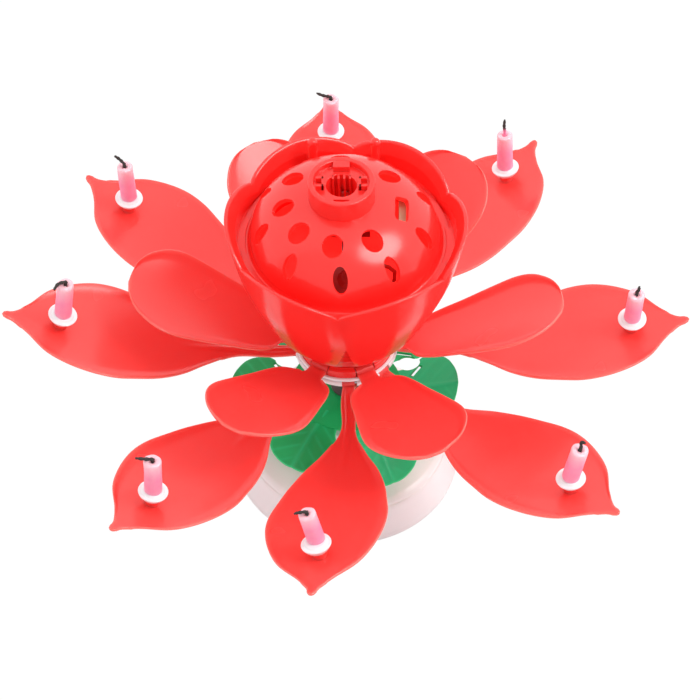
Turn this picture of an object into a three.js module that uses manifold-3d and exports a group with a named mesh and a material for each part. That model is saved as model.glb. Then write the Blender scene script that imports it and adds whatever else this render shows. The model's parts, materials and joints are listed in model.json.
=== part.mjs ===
// Musical birthday candle: a plastic lotus on a round stand, opened out, with a candle on each outer petal.
// Millimetres, +Z up. The origin is the centre of the stand's underside.
// The flower head turns on the spindle of its small motor, and every petal swings on a wire hinge ring.

import * as THREE from 'three';
import { mergeVertices } from 'three/addons/utils/BufferGeometryUtils.js';
import Module from 'manifold-3d';

const wasm = await Module();
wasm.setup();

// Fits, cuts and facets
const gap = 0.3;
const overrun = 2;
const weld = 1e-4;
const mainSides = 26;
const domeSides = 25;
const ringSides = 24;
const smallSides = 8;
const barrelSides = 8;
const tinySides = 6;
const wickSides = 4;

// Stand
const standRadius = 35;
const standBandHeight = 3;
const standUnderRadius = 34.2;
const standUnderLip = 0.9;
const shoulderRadius = 31.4;
const shoulderHeight = 11.2;
const crownRadius = 25;
const crownHeight = 14.4;
const standWall = 1.8;
const collarRadius = 6.4;
const collarHeight = 17.6;
const plateThickness = 1.6;
const plateRebate = 1.2;
const socketDepth = 13;
const socketWall = 1.7;

// Stem, spindle and leaves
const stemRadius = 3;
const spindleRadius = 1.2;
const spindleGrip = 14;
const spindleRise = 12;
const whorlHeight = 34.6;
const whorlDiscRadius = 17;
const whorlThickness = 1.1;
const whorlSleeveRadius = 5;
const whorlSleeveHeight = 7;
const leafCount = 6;
const leafRoot = 11;
const leafLength = 22.8;
const leafHalfWidth = 11.2;
const leafDroop = 5.5;
const leafRidge = 1.6;
const leafThickness = 0.9;
const leafSlotAlong = 21.2;
const leafSlotSide = 6.8;
const leafSlotWidth = 1.1;
const leafSlotReach = 5;

// Hub ring, the heel of the cup and the two wire hinge rings
const hubBottom = 51;
const hubHeight = 3.7;
const hubRadius = 15.4;
const heelHeight = 3.7;
const heelRadius = 14.1;
const wireRadius = 0.45;
const hubWireInset = 1.9;
const heelWireInset = 1.4;
const outerCount = 8;
const innerCount = 6;
const barrelRadius = 1.75;
const barrelBore = 1.25;
const barrelSway = 1.15;
const barrelRoom = 0.5;
const hubBoreRadius = 2;

// Cup
const cupWall = 1.2;
const cupNeckRadius = 12;
const cupRimRadius = 33.7;
const cupFloor = 2;
const traySeatRise = 29.7;
const flangeAboveTray = 9;
const rimAboveFlange = 4.9;
const lobeRise = 5.2;
const lobeBulge = 1.3;
const lobePower = 0.7;
const seatWall = 2;
const seatDepth = 3;
const ledgeWidth = 2;
const windowWidth = 7.2;
const windowRise = 7.3;
const windowHeight = 20;

// Dome cap with its socket for the fountain candle
const flangeWidth = 3.1;
const flangeThickness = 1.3;
const domeRise = 18.4;
const domeWall = 1.4;
const domeFullness = 2.4;
const domeCrowding = 0.85;
const socketRadius = 9.6;
const socketRise = 6.4;
const socketRim = 1.6;
const socketFloorDrop = 2.3;
const socketFloor = 1.3;
const socketHole = 7.2;
const sleeveDepth = 9;
const sleeveWall = 1.1;
const slotWidth = 4.4;
const slotLength = 1.5;
const notchWidth = 5.2;
const notchLength = 2.4;
const slotOffset = 5.9;
const clipWidth = 1.5;
const clipLength = 3;
const clipHeight = 1.5;
const clipOffset = 6.2;
const ventRadius = 3;
const ventStretchShare = 1.17;
const ventInset = 10.3;
const boardSlotWidth = 4.2;
const boardSlotLength = 8.4;
const ovalCount = 10;
const ovalRadius = 2.1;
const ovalStretchShare = 1.9;
const ovalInset = 3;
const postRadius = 1.5;
const postHeight = 13;
const postSpread = 9.1;

// Motor, board tray, cells, sounder and contact
const motorRadius = 7;
const motorHeight = 13;
const motorFlat = 5.2;
const trayThickness = 1.6;
const cellRadius = 5.8;
const cellThickness = 5.4;
const holderWall = 1.2;
const holderInset = 4.5;
const sounderRadius = 9;
const sounderHeight = 3.4;
const sounderX = 2;
const sounderY = -9.6;
const sounderRim = 1.1;
const soundBoardX = 16.3;
const soundBoardY = 0.5;
const soundBoardWidth = 11;
const soundBoardThickness = 2.6;
const soundBoardHeadroom = 1.2;
const contactWidth = 2.4;
const contactThickness = 0.5;
const contactFoot = 3.2;
const leadRadius = 0.6;
const leadRise = 5;
const leadX = 13.6;

// Outer petals
const outerLength = 90.2;
const outerHalfWidth = 17.3;
const outerSag = 5.2;
const outerThickness = 1.1;
const outerCupping = 1.5;
const ribHeight = 0.7;
const ribLength = 38;

// Inner petals
const innerLength = 56;
const innerHalfWidth = 15.1;
const innerSag = 2.2;
const innerThickness = 1.1;
const innerCupping = 2.1;

// Candles, their dishes and wicks
const dishSetback = 17.4;
const dishRadius = 4.35;
const dishFootRadius = 3;
const dishHeight = 2.2;
const dishRim = 0.6;
const dishFloor = 1;
const stubRadius = 1.9;
const stubHeight = 2.35;
const candleRadius = 2.55;
const candleLength = 15;
const candleEdge = 0.5;
const wickRadius = 0.42;
const wickSocketDepth = 1.6;
const wickSocketRadius = 0.85;

// Angles in degrees, one for each petal, candle or hole, counted from +X
const outerPhase = 4;
const outerYaws = [0, 5.8, -0.9, 3.7, -0.4, 1.7, -10.7, -1.1];
const outerTilts = [3.2, 2.4, 2.4, 5.6, 15, 10.2, 11.1, 6.3];
const outerRolls = [4.7, -8.6, -1.4, 2.5, -1.4, -1.8, 9, 0.4];
const innerPhase = -5.4;
const innerYaws = [-0.4, -1, 3.5, 3, 5.2, -2.2];
const innerTilts = [25.5, 30.6, 33.7, 24.9, 27.9, 23];
const innerRolls = [-6.3, -0.2, 6, -3.8, 1.1, 2.2];
const candleLeansAlong = [2.3, 1.4, 2.3, 6, 7.4, 10.7, 10.5, 14.4];
const candleLeansAcross = [-6.4, -5.8, -1.7, 4.8, 2.8, 1.6, -1.4, 1.8];
const leafPhase = -5;
const leafSlotSlant = 35;
const lobePhase = -4;
const ventAngles = [-99, -60, 37, 92, 147, 187, 224];
const boardSlotAngle = -11;
const ovalPhase = -92;

// Outlines as shares: [share of the length, share of the greatest half width]
const outerOutlineShares = [
  [0, 0.11], [0.08, 0.13], [0.2, 0.14], [0.3, 0.375], [0.38, 0.63], [0.46, 0.807], [0.54, 0.915],
  [0.62, 0.993], [0.7, 0.976], [0.78, 0.858], [0.85, 0.658], [0.91, 0.327], [0.96, 0.116], [1, 0.06],
];
const innerOutlineShares = [
  [0, 0.18], [0.08, 0.22], [0.16, 0.53], [0.26, 0.675], [0.4, 0.785], [0.55, 0.905], [0.7, 1], [0.8, 0.972],
  [0.88, 0.837], [0.94, 0.647], [0.98, 0.387], [1, 0.124],
];
const leafOutlineShares = [
  [0, 0.5], [0.14, 0.54], [0.3, 0.7], [0.45, 0.89], [0.6, 1], [0.75, 0.98], [0.86, 0.82], [0.94, 0.55],
  [1, 0.14],
];

// The line along the middle of a petal as shares: [share of the length, share of the sag]
const outerSpineShares = [
  [0, 0], [0.1, 0.4], [0.22, 0.7], [0.42, 1], [0.58, 0.84], [0.7, 0.6], [0.81, 0.45], [0.91, 0.3], [1, 0],
];
const innerSpineShares = [[0, 0], [0.045, 0.4], [0.09, 0.7], [0.3, 1], [0.65, 0.85], [1, 0.5]];

// The cup's outer wall as shares: [share of the rise to the rim, share of the spread from neck to rim]
const cupWallShares = [
  [0, 0], [0.1, 0.2], [0.21, 0.38], [0.33, 0.535], [0.54, 0.73], [0.76, 0.89], [1, 1],
];

// Wick shapes as shares of half their reach: [along the petal, across the petal, up the candle]
const wickReach = 6;
const wickShapeShares = [
  [[0, 0, 0.4], [0.1, -0.1, 0.8], [0.15, 0.1, 1.2]],
  [[0, 0, 0.5], [0, 0.05, 1.1], [0.1, 0.05, 1.9]],
  [[0, 0.1, 0.2], [0, 0.8, 0.4], [0.1, 1.5, 0.7]],
  [[0, 0, 0.3], [0.5, 0.1, 0.8], [0.9, 0.3, 1.2]],
  [[0, 0, 0.3], [0.7, 0.3, 0.3], [1.1, 0.9, 0.1]],
  [[0, 0, 0.2], [0.5, -0.5, 0.3], [1.1, -1.1, 0.5]],
  [[0, 0, 0.2], [0.1, -0.6, 0.3], [0.2, -1.3, 0.3]],
  [[0, 0, 0.4], [-0.2, 0.2, 0.8], [0.2, 0.1, 1.2]],
];

const red = { color: 0xff3b34, roughness: 0.28, metalness: 0 };
const green = { color: 0x1fa05e, roughness: 0.4, metalness: 0 };
const white = { color: 0xf2eaec, roughness: 0.35, metalness: 0 };
const pink = { color: 0xff8ab4, roughness: 0.5, metalness: 0 };
const soot = { color: 0x241d1c, roughness: 0.9, metalness: 0 };
const steel = { color: 0xb9bcc0, roughness: 0.3, metalness: 1 };
const brass = { color: 0xb9893f, roughness: 0.35, metalness: 1 };
const tan = { color: 0xb5ab92, roughness: 0.6, metalness: 0 };
const dark = { color: 0x4a3f3c, roughness: 0.5, metalness: 0 };

// Heights and radii that follow from the sizes above
const stemTop = hubBottom - gap;
const stemFoot = collarHeight - socketDepth;
const hubTop = hubBottom + hubHeight;
const heelBottom = hubTop + gap;
const heelTop = heelBottom + heelHeight;
const outerHinge = {
  radius: hubRadius - hubWireInset,
  height: hubBottom + hubHeight / 2,
  barrel: 2 * outerHalfWidth * outerOutlineShares[0][1],
};
const innerHinge = {
  radius: heelRadius - heelWireInset,
  height: heelBottom + heelHeight / 2,
  barrel: 2 * innerHalfWidth * innerOutlineShares[0][1],
};
const cupInsideFloor = heelTop + cupFloor;
const motorBottom = cupInsideFloor + gap;
const traySeatHeight = cupInsideFloor + traySeatRise;
const flangeSeatHeight = traySeatHeight + flangeAboveTray;
const cupRimHeight = flangeSeatHeight + rimAboveFlange;
const traySeatRadius = cupWallRadius(traySeatHeight) - seatWall - gap;
const flangeSeatRadius = cupWallRadius(flangeSeatHeight) - seatWall - gap;
const flangeBottom = flangeSeatHeight + gap;
const flangeTop = flangeBottom + flangeThickness;
const domeRadius = flangeSeatRadius - flangeWidth;
const ventRing = domeRadius - ventInset;
const ovalRing = domeRadius - ovalInset;
const postRing = (domeRadius + flangeSeatRadius) / 2;
const domeTop = flangeTop + domeRise;
const socketFloorTop = domeTop + socketRise - socketFloorDrop;
const socketFloorBottom = socketFloorTop - socketFloor;
const sleeveBottom = socketFloorBottom - sleeveDepth;
const trayBottom = traySeatHeight + gap;
const trayTop = trayBottom + trayThickness;

const radians = THREE.MathUtils.degToRad;

function welded(geometry) {
  const bare = new THREE.BufferGeometry();
  bare.setAttribute('position', geometry.getAttribute('position'));
  if (geometry.index) bare.setIndex(geometry.index);
  const merged = mergeVertices(bare, weld);
  const corners = merged.index.array;
  const kept = [];
  for (let i = 0; i < corners.length; i += 3) {
    const [a, b, c] = [corners[i], corners[i + 1], corners[i + 2]];
    if (a !== b && b !== c && c !== a) kept.push(a, b, c);
  }
  merged.setIndex(kept);
  return merged;
}

function solid(geometry) {
  const closed = welded(geometry);
  const vertProperties = closed.attributes.position.array;
  const triVerts = Uint32Array.from(closed.index.array);
  return new wasm.Manifold(new wasm.Mesh({ numProp: 3, vertProperties, triVerts }));
}

function joined(first, ...others) {
  return others.reduce((whole, piece) => whole.add(solid(piece)), first);
}

function cut(first, ...others) {
  return others.reduce((whole, piece) => whole.subtract(solid(piece)), first);
}

function geometryOf(manifold) {
  const mesh = manifold.getMesh();
  const geometry = new THREE.BufferGeometry();
  geometry.setAttribute('position', new THREE.BufferAttribute(mesh.vertProperties, 3));
  geometry.setIndex(new THREE.BufferAttribute(mesh.triVerts, 1));
  return geometry;
}

function named(name, geometry, look) {
  geometry.computeVertexNormals();
  const mesh = new THREE.Mesh(geometry, new THREE.MeshStandardMaterial(look));
  mesh.name = name;
  return mesh;
}

// A body turned about +Z from [radius, height] points that start and end on the axis or close on themselves
function revolved(points, sides) {
  const profile = points.map(([radius, height]) => new THREE.Vector2(radius, height));
  return new THREE.LatheGeometry(profile, sides).rotateX(Math.PI / 2);
}

function cylinder(radius, bottom, top, sides) {
  return revolved([[0, bottom], [radius, bottom], [radius, top], [0, top]], sides);
}

function box(width, depth, height) {
  return new THREE.BoxGeometry(width, depth, height);
}

function wireRing(hinge, radius) {
  return new THREE.TorusGeometry(hinge.radius, radius, tinySides, ringSides).translate(0, 0, hinge.height);
}

// Turns a shape placed on the +X side to an azimuth
function turned(geometry, degrees) {
  return geometry.rotateZ(radians(degrees));
}

function azimuths(count, phase) {
  return Array.from({ length: count }, (_, i) => phase + (360 / count) * i);
}

// A thin closed sheet over a grid of rows and columns; face(i, j, side) gives its two faces, side +1 or -1
function closedSheet(rows, columns, face) {
  const positions = [];
  const index = [];
  for (const side of [1, -1]) {
    for (let i = 0; i < rows; i++) {
      for (let j = 0; j < columns; j++) positions.push(...face(i, j, side));
    }
  }
  const at = (i, j, side) => (side > 0 ? 0 : rows * columns) + i * columns + j;
  const quad = (a, b, c, d) => index.push(a, b, c, a, c, d);
  for (let i = 0; i < rows - 1; i++) {
    for (let j = 0; j < columns - 1; j++) {
      quad(at(i, j, 1), at(i + 1, j, 1), at(i + 1, j + 1, 1), at(i, j + 1, 1));
      quad(at(i, j, -1), at(i, j + 1, -1), at(i + 1, j + 1, -1), at(i + 1, j, -1));
    }
    quad(at(i, 0, -1), at(i + 1, 0, -1), at(i + 1, 0, 1), at(i, 0, 1));
    const last = columns - 1;
    quad(at(i, last, 1), at(i + 1, last, 1), at(i + 1, last, -1), at(i, last, -1));
  }
  for (let j = 0; j < columns - 1; j++) {
    quad(at(0, j, 1), at(0, j + 1, 1), at(0, j + 1, -1), at(0, j, -1));
    quad(at(rows - 1, j, -1), at(rows - 1, j + 1, -1), at(rows - 1, j + 1, 1), at(rows - 1, j, 1));
  }
  const geometry = new THREE.BufferGeometry();
  geometry.setAttribute('position', new THREE.Float32BufferAttribute(positions, 3));
  geometry.setIndex(index);
  return geometry;
}

// A table's value at a place, straight between its entries
function between(table, place) {
  const next = table.findIndex(([a]) => a >= place);
  const k = next < 0 ? table.length - 1 : Math.max(next, 1);
  const [[a0, b0], [a1, b1]] = [table[k - 1], table[k]];
  return b0 + ((b1 - b0) * (place - a0)) / (a1 - a0);
}

function smoothShares(shares, rows) {
  const points = shares.map(([a, b]) => new THREE.Vector3(a, b, 0));
  const curve = new THREE.CatmullRomCurve3(points, false, 'centripetal');
  return Array.from({ length: rows }, (_, i) => curve.getPoint(i / (rows - 1)));
}

function standShell() {
  const outside = new THREE.Path();
  outside.moveTo(standUnderRadius, 0);
  outside.quadraticCurveTo(standRadius, 0, standRadius, standUnderLip);
  outside.lineTo(standRadius, standBandHeight);
  outside.lineTo(shoulderRadius + standUnderLip, shoulderHeight - standUnderLip);
  outside.quadraticCurveTo(shoulderRadius, crownHeight - standUnderLip, crownRadius, crownHeight);
  outside.quadraticCurveTo(collarRadius, crownHeight + standUnderLip, collarRadius, collarHeight);
  const outer = outside.getPoints(2).map((p) => [p.x, p.y]);
  const socket = stemRadius + gap;
  const tube = socket + socketWall;
  const inner = [
    [socket, collarHeight], [socket, stemFoot], [0, stemFoot], [0, stemFoot - socketWall],
    [tube, stemFoot - socketWall], [tube, crownHeight - standWall], [crownRadius, crownHeight - standWall],
    [shoulderRadius - standWall, shoulderHeight - standWall],
    [standRadius - standWall, standBandHeight], [standRadius - standWall, plateThickness + gap],
    [standUnderRadius - plateRebate, plateThickness + gap], [standUnderRadius - plateRebate, 0],
  ];
  const upper = outer.concat(inner.slice(0, 3));
  const lower = inner.slice(3).concat([outer[0]]);
  const profile = upper.concat(lower).reduce(closeOnAxis, []);
  return named('stand_shell', welded(revolved(profile, mainSides)), white);
}

// Keeps a profile's points in order and drops repeats
function closeOnAxis(points, point) {
  const last = points[points.length - 1];
  if (!last || last[0] !== point[0] || last[1] !== point[1]) points.push(point);
  return points;
}

function standPlate() {
  const radius = standUnderRadius - plateRebate - gap;
  const plate = revolved([
    [0, 0], [radius - standUnderLip, 0], [radius, standUnderLip], [radius, plateThickness],
    [0, plateThickness],
  ], mainSides);
  return named('stand_plate', welded(plate), white);
}

function stemPost() {
  const bore = spindleRadius + gap;
  const bottom = stemFoot + gap;
  return named('stem_post', welded(revolved([
    [0, bottom], [stemRadius, bottom], [stemRadius, stemTop], [bore, stemTop],
    [bore, stemTop - spindleGrip], [0, stemTop - spindleGrip],
  ], smallSides)), dark);
}

function spindle() {
  const bottom = stemTop - spindleGrip + gap;
  const top = motorBottom + spindleRise;
  return named('spindle', welded(cylinder(spindleRadius, bottom, top, smallSides)), steel);
}

function leafSheet() {
  const rows = smoothShares(leafOutlineShares, 7);
  const columns = 3;
  return closedSheet(rows.length, columns, (i, j, side) => {
    const across = (2 * j) / (columns - 1) - 1;
    const along = rows[i].x;
    const fall = leafDroop * along * along + leafRidge * along * Math.abs(across);
    return [
      leafRoot + leafLength * along,
      leafHalfWidth * rows[i].y * across,
      whorlHeight - fall + (side * leafThickness) / 2,
    ];
  });
}

function leafSlot(side) {
  const slot = box(leafSlotWidth, leafSlotReach, 2 * (leafDroop + leafThickness));
  slot.rotateZ(-side * radians(leafSlotSlant));
  return slot.translate(leafSlotAlong, side * leafSlotSide, whorlHeight);
}

function leafWhorl() {
  const bore = stemRadius + gap;
  const discTop = whorlHeight + whorlThickness / 2;
  const discBottom = discTop - whorlThickness;
  const disc = revolved([
    [bore, discTop - whorlSleeveHeight], [whorlSleeveRadius, discTop - whorlSleeveHeight],
    [whorlSleeveRadius, discBottom], [whorlDiscRadius, discBottom], [whorlDiscRadius, discTop],
    [bore, discTop], [bore, discTop - whorlSleeveHeight],
  ], ringSides);
  const sheets = azimuths(leafCount, leafPhase).map((azimuth) => turned(leafSheet(), azimuth));
  const slots = azimuths(leafCount, leafPhase).flatMap((azimuth) => [turned(leafSlot(1), azimuth),
    turned(leafSlot(-1), azimuth)]);
  return named('leaf_whorl', geometryOf(cut(joined(solid(disc), ...sheets), ...slots)), green);
}

// The notch in a ring that one petal's barrel swings in
function barrelNotch(hinge, height) {
  const back = hinge.radius - barrelRadius - barrelRoom;
  const depth = hubRadius + overrun - back;
  const notch = box(depth, hinge.barrel + 2 * barrelSway, height + 2 * overrun);
  return notch.translate(back + depth / 2, 0, hinge.height);
}

function hubRing() {
  const ring = revolved([
    [hubBoreRadius, hubBottom], [hubRadius, hubBottom], [hubRadius, hubTop], [hubBoreRadius, hubTop],
    [hubBoreRadius, hubBottom],
  ], ringSides);
  const notches = azimuths(outerCount, outerPhase)
    .map((azimuth) => turned(barrelNotch(outerHinge, hubHeight), azimuth));
  const channel = wireRing(outerHinge, wireRadius + gap);
  return named('hub_ring', geometryOf(cut(solid(ring), ...notches, channel)), white);
}

function hingeWire(name, hinge) {
  return named(name, welded(wireRing(hinge, wireRadius)), steel);
}

// How far a lobe of the cup's rim has risen at an azimuth, from 0 in a notch to 1 at its crown
function lobeShare(azimuth) {
  return Math.pow(Math.abs(Math.cos((innerCount / 2) * (azimuth - radians(lobePhase)))), lobePower);
}

// The radius of the cup's outer wall at a height
function cupWallRadius(height) {
  const share = between(cupWallShares, (height - heelTop) / (cupRimHeight - heelTop));
  return cupNeckRadius + (cupRimRadius - cupNeckRadius) * share;
}

function cupGeometry() {
  const heights = cupWallShares.map(([share]) => heelTop + (cupRimHeight - heelTop) * share);
  const ledgeFoot = traySeatHeight - 2 * ledgeWidth;
  const insideWall = heights.filter((height) => height > cupInsideFloor && height < ledgeFoot - cupWall)
    .concat(cupInsideFloor, ledgeFoot).sort((a, b) => b - a);
  const bore = traySeatRadius + gap;
  const geometry = revolved([
    [hubBoreRadius, heelBottom], [heelRadius, heelBottom], [heelRadius, heelTop],
    ...heights.map((height) => [cupWallRadius(height), height]),
    [cupRimRadius - cupWall, cupRimHeight], [flangeSeatRadius + gap, flangeSeatHeight + seatDepth],
    [flangeSeatRadius + gap, flangeSeatHeight], [bore, flangeSeatHeight], [bore, traySeatHeight],
    [bore - ledgeWidth, traySeatHeight],
    ...insideWall.map((height) => [cupWallRadius(height) - cupWall, height]),
    [hubBoreRadius, cupInsideFloor], [hubBoreRadius, heelBottom],
  ], mainSides);
  shapeLobes(geometry);
  return geometry;
}

// Raises and bulges the rim into petal-shaped lobes, fading out down the wall
function shapeLobes(geometry) {
  const place = geometry.getAttribute('position');
  const foot = flangeSeatHeight + seatDepth;
  for (let i = 0; i < place.count; i++) {
    const [x, y, z] = [place.getX(i), place.getY(i), place.getZ(i)];
    const fade = Math.max(0, (z - foot) / (cupRimHeight - foot));
    const lobe = fade * lobeShare(Math.atan2(y, x));
    const swell = 1 + (lobe * lobeBulge) / cupRimRadius;
    place.setXYZ(i, x * swell, y * swell, z + lobe * lobeRise);
  }
}

function cup() {
  const notches = azimuths(innerCount, innerPhase)
    .map((azimuth) => turned(barrelNotch(innerHinge, heelHeight), azimuth));
  const clipped = notches.map((notch) => solid(notch).intersect(
    solid(cylinder(cupRimRadius, heelBottom - overrun, heelTop + barrelRoom, mainSides))));
  const channel = wireRing(innerHinge, wireRadius + gap);
  const windowBottom = heelTop + windowRise;
  const outline = new THREE.Shape();
  outline.moveTo(-windowWidth / 2, windowBottom);
  outline.lineTo(windowWidth / 2, windowBottom);
  outline.lineTo(0, windowBottom + windowHeight);
  outline.closePath();
  const window = new THREE.ExtrudeGeometry(outline, { depth: cupRimRadius, bevelEnabled: false });
  window.rotateX(Math.PI / 2).translate(0, -cupNeckRadius, 0);
  const body = clipped.reduce((whole, notch) => whole.subtract(notch), solid(cupGeometry()));
  return named('cup', geometryOf(cut(body, channel, window)), red);
}

// The dome's height at a radius, a flattened arch from the flange to the socket's collar
function domeHeight(radius, reach, rise) {
  const remains = Math.max(0, 1 - Math.pow(radius / reach, domeFullness));
  return flangeTop + rise * Math.pow(remains, 1 / domeFullness);
}

function domeGeometry() {
  const steps = 5;
  const outer = [];
  const inner = [];
  for (let i = 0; i <= steps; i++) {
    const angle = (i / steps) * Math.PI / 2;
    const wide = Math.pow(Math.cos(angle), domeCrowding);
    const outerAt = Math.max(domeRadius * wide, socketRadius);
    const innerAt = Math.max((domeRadius - domeWall) * wide, socketRadius - socketRim);
    outer.push([outerAt, domeHeight(outerAt, domeRadius, domeRise)]);
    inner.push([innerAt, domeHeight(innerAt, domeRadius - domeWall, domeRise - domeWall)]);
  }
  const hole = socketHole / 2;
  const top = domeTop + socketRise;
  return revolved([
    [domeRadius - domeWall, flangeBottom], [flangeSeatRadius, flangeBottom], [flangeSeatRadius, flangeTop],
    ...outer, [socketRadius, top], [socketRadius - socketRim, top],
    [socketRadius - socketRim, socketFloorTop],
    [hole, socketFloorTop], [hole, socketFloorBottom], [socketRadius - socketRim, socketFloorBottom],
    ...inner.reverse(), [domeRadius - domeWall, flangeBottom],
  ].reduce(closeOnAxis, []), domeSides);
}

// Turns a cutter made on the Z axis to point out through the dome at a radius and an azimuth
function throughDome(cutter, ring, azimuth) {
  const height = domeHeight(ring, domeRadius, domeRise);
  const step = weld * domeRadius;
  const slope = (domeHeight(ring + step, domeRadius, domeRise) - height) / step;
  return turned(cutter.rotateY(Math.atan(-slope)).translate(ring, 0, height), azimuth);
}

function ventCutter(radius, stretch) {
  const cutter = new THREE.CylinderGeometry(radius, radius, 2 * (domeWall + overrun), barrelSides);
  return cutter.rotateX(Math.PI / 2).scale(stretch, 1, 1);
}

function domeCap() {
  const vent = (azimuth) => throughDome(ventCutter(ventRadius, ventStretchShare), ventRing, azimuth);
  const oval = (azimuth) => throughDome(ventCutter(ovalRadius, ovalStretchShare), ovalRing, azimuth);
  const boardSlot = box(boardSlotWidth, boardSlotLength, 2 * (domeWall + overrun));
  const openings = [
    ...ventAngles.map(vent), ...azimuths(ovalCount, ovalPhase).map(oval),
    throughDome(boardSlot, ventRing, boardSlotAngle),
  ];
  const slots = [
    box(slotWidth, slotLength, socketFloor + overrun).translate(0, -slotOffset, socketFloorTop),
    box(notchWidth, notchLength, socketFloor + overrun).translate(0, slotOffset, socketFloorTop),
  ];
  const clips = [1, -1].map((side) => box(clipWidth, clipLength, clipHeight + weld)
    .translate(side * clipOffset, 0, socketFloorTop + clipHeight / 2));
  const outside = socketHole / 2 + sleeveWall;
  const sleeve = revolved([
    [socketHole / 2, sleeveBottom], [outside, sleeveBottom], [outside, socketFloorTop - weld],
    [socketHole / 2, socketFloorTop - weld], [socketHole / 2, sleeveBottom],
  ], domeSides);
  const posts = [1, -1].map((side) => revolved([
    [0, flangeBottom + gap], [postRadius, flangeBottom + gap],
    [postRadius, flangeTop + postHeight - postRadius],
    [postRadius / 2, flangeTop + postHeight], [0, flangeTop + postHeight],
  ], tinySides).translate(side * postSpread, Math.sqrt(postRing ** 2 - postSpread ** 2), 0));
  const shell = cut(solid(domeGeometry()), ...openings, ...slots);
  return named('dome_cap', geometryOf(joined(shell, sleeve, ...clips, ...posts)), red);
}

function spinMotor() {
  const bore = spindleRadius + gap;
  const top = motorBottom + motorHeight;
  const can = revolved([
    [bore, motorBottom], [motorRadius, motorBottom], [motorRadius, top], [0, top],
    [0, motorBottom + spindleRise + gap], [bore, motorBottom + spindleRise + gap], [bore, motorBottom],
  ], barrelSides * 2);
  const flats = [1, -1].map((side) => box(motorRadius * 2, motorRadius, motorHeight + overrun)
    .translate(0, side * (motorFlat + motorRadius / 2), motorBottom + motorHeight / 2));
  return named('spin_motor', geometryOf(cut(solid(can), ...flats)), steel);
}

function boardTray() {
  return named('board_tray', welded(cylinder(traySeatRadius, trayBottom, trayTop, mainSides)), red);
}

const holderLength = 2 * cellThickness + 3 * gap + 2 * holderWall;
const holderWidth = 2 * (cellRadius + gap + holderWall);
const holderY = traySeatRadius - holderInset - holderWidth / 2;
const holderBottom = trayTop + gap;
const cellAxis = holderBottom + holderWall + gap + cellRadius;

function batteryHolder() {
  const height = cellAxis - holderBottom + cellRadius / 2;
  const block = box(holderLength, holderWidth, height)
    .translate(0, holderY, holderBottom + height / 2);
  const inside = cellRadius + gap;
  const pocketHeight = height - holderWall + overrun;
  const pocket = box(holderLength - 2 * holderWall, 2 * inside, pocketHeight)
    .translate(0, holderY, holderBottom + holderWall + pocketHeight / 2);
  return named('battery_holder', geometryOf(cut(solid(block), pocket)), dark);
}

function buttonCell(name, order) {
  const cell = revolved([
    [0, 0], [cellRadius, 0], [cellRadius, cellThickness - holderWall],
    [cellRadius - holderWall, cellThickness], [0, cellThickness],
  ], barrelSides * 2).rotateY(Math.PI / 2);
  const start = -holderLength / 2 + holderWall + gap + order * (cellThickness + gap);
  return named(name, welded(cell.translate(start, holderY, cellAxis)), steel);
}

function sounder() {
  const bottom = trayTop + gap;
  const top = bottom + sounderHeight;
  const disc = revolved([
    [0, bottom], [sounderRadius, bottom], [sounderRadius, top], [sounderRadius - sounderRim, top],
    [sounderRadius - 2 * sounderRim, top - sounderRim], [sounderRadius / 2, top - sounderRim],
    [sounderRadius / 2 - sounderRim, top], [0, top],
  ], barrelSides * 2).translate(sounderX, sounderY, 0);
  return named('sounder', welded(disc), brass);
}

// The board with the tune's chip, standing on the tray below the dome's slot
function soundBoard() {
  const farSide = soundBoardX + soundBoardThickness / 2;
  const farEnd = Math.abs(soundBoardY) + soundBoardWidth / 2;
  const corner = Math.hypot(farSide, farEnd);
  const bottom = trayTop + gap;
  const top = domeHeight(corner, domeRadius - domeWall, domeRise - domeWall) - soundBoardHeadroom;
  const plate = box(soundBoardThickness, soundBoardWidth, top - bottom);
  return named('sound_board', welded(plate.translate(soundBoardX, soundBoardY, (bottom + top) / 2)), tan);
}

// A bent spring strip from the tray up into the back of the socket's sleeve
function triggerContact() {
  const back = socketHole / 2 - gap;
  const bottom = trayTop + gap;
  const top = sleeveBottom + sleeveDepth / 2;
  const outline = new THREE.Shape();
  outline.moveTo(back, bottom);
  outline.lineTo(back, top);
  outline.lineTo(back - contactThickness, top);
  outline.lineTo(back - contactThickness, bottom + contactThickness);
  outline.lineTo(back - contactFoot, bottom + contactThickness);
  outline.lineTo(back - contactFoot, bottom);
  outline.closePath();
  const strip = new THREE.ExtrudeGeometry(outline, { depth: contactWidth, bevelEnabled: false });
  strip.rotateX(Math.PI / 2).rotateZ(Math.PI / 2).translate(-contactWidth / 2, 0, 0);
  return named('trigger_contact', welded(strip), steel);
}

function tube(points, radius, sides, steps) {
  const section = new THREE.Shape();
  for (let i = 0; i < sides; i++) {
    const angle = (2 * Math.PI * i) / sides;
    const [x, y] = [radius * Math.cos(angle), radius * Math.sin(angle)];
    if (i) section.lineTo(x, y);
    else section.moveTo(x, y);
  }
  section.closePath();
  const path = new THREE.CatmullRomCurve3(points.map((p) => new THREE.Vector3(...p)));
  return new THREE.ExtrudeGeometry(section, { steps, extrudePath: path, bevelEnabled: false });
}

// The lead from the sounder's crown, arched over its edge and down to the board
function leadWire() {
  const start = trayTop + gap + sounderHeight + gap;
  const crest = start + leadRise;
  const points = [
    [sounderX, sounderY, start], [sounderX, sounderY, start + leadRise / 2],
    [(sounderX + leadX) / 2, sounderY, crest], [leadX, sounderY, start + leadRise / 2],
    [leadX, sounderY, trayTop + gap],
  ];
  return named('lead_wire', welded(tube(points, leadRadius, tinySides, 8)), dark);
}

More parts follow.
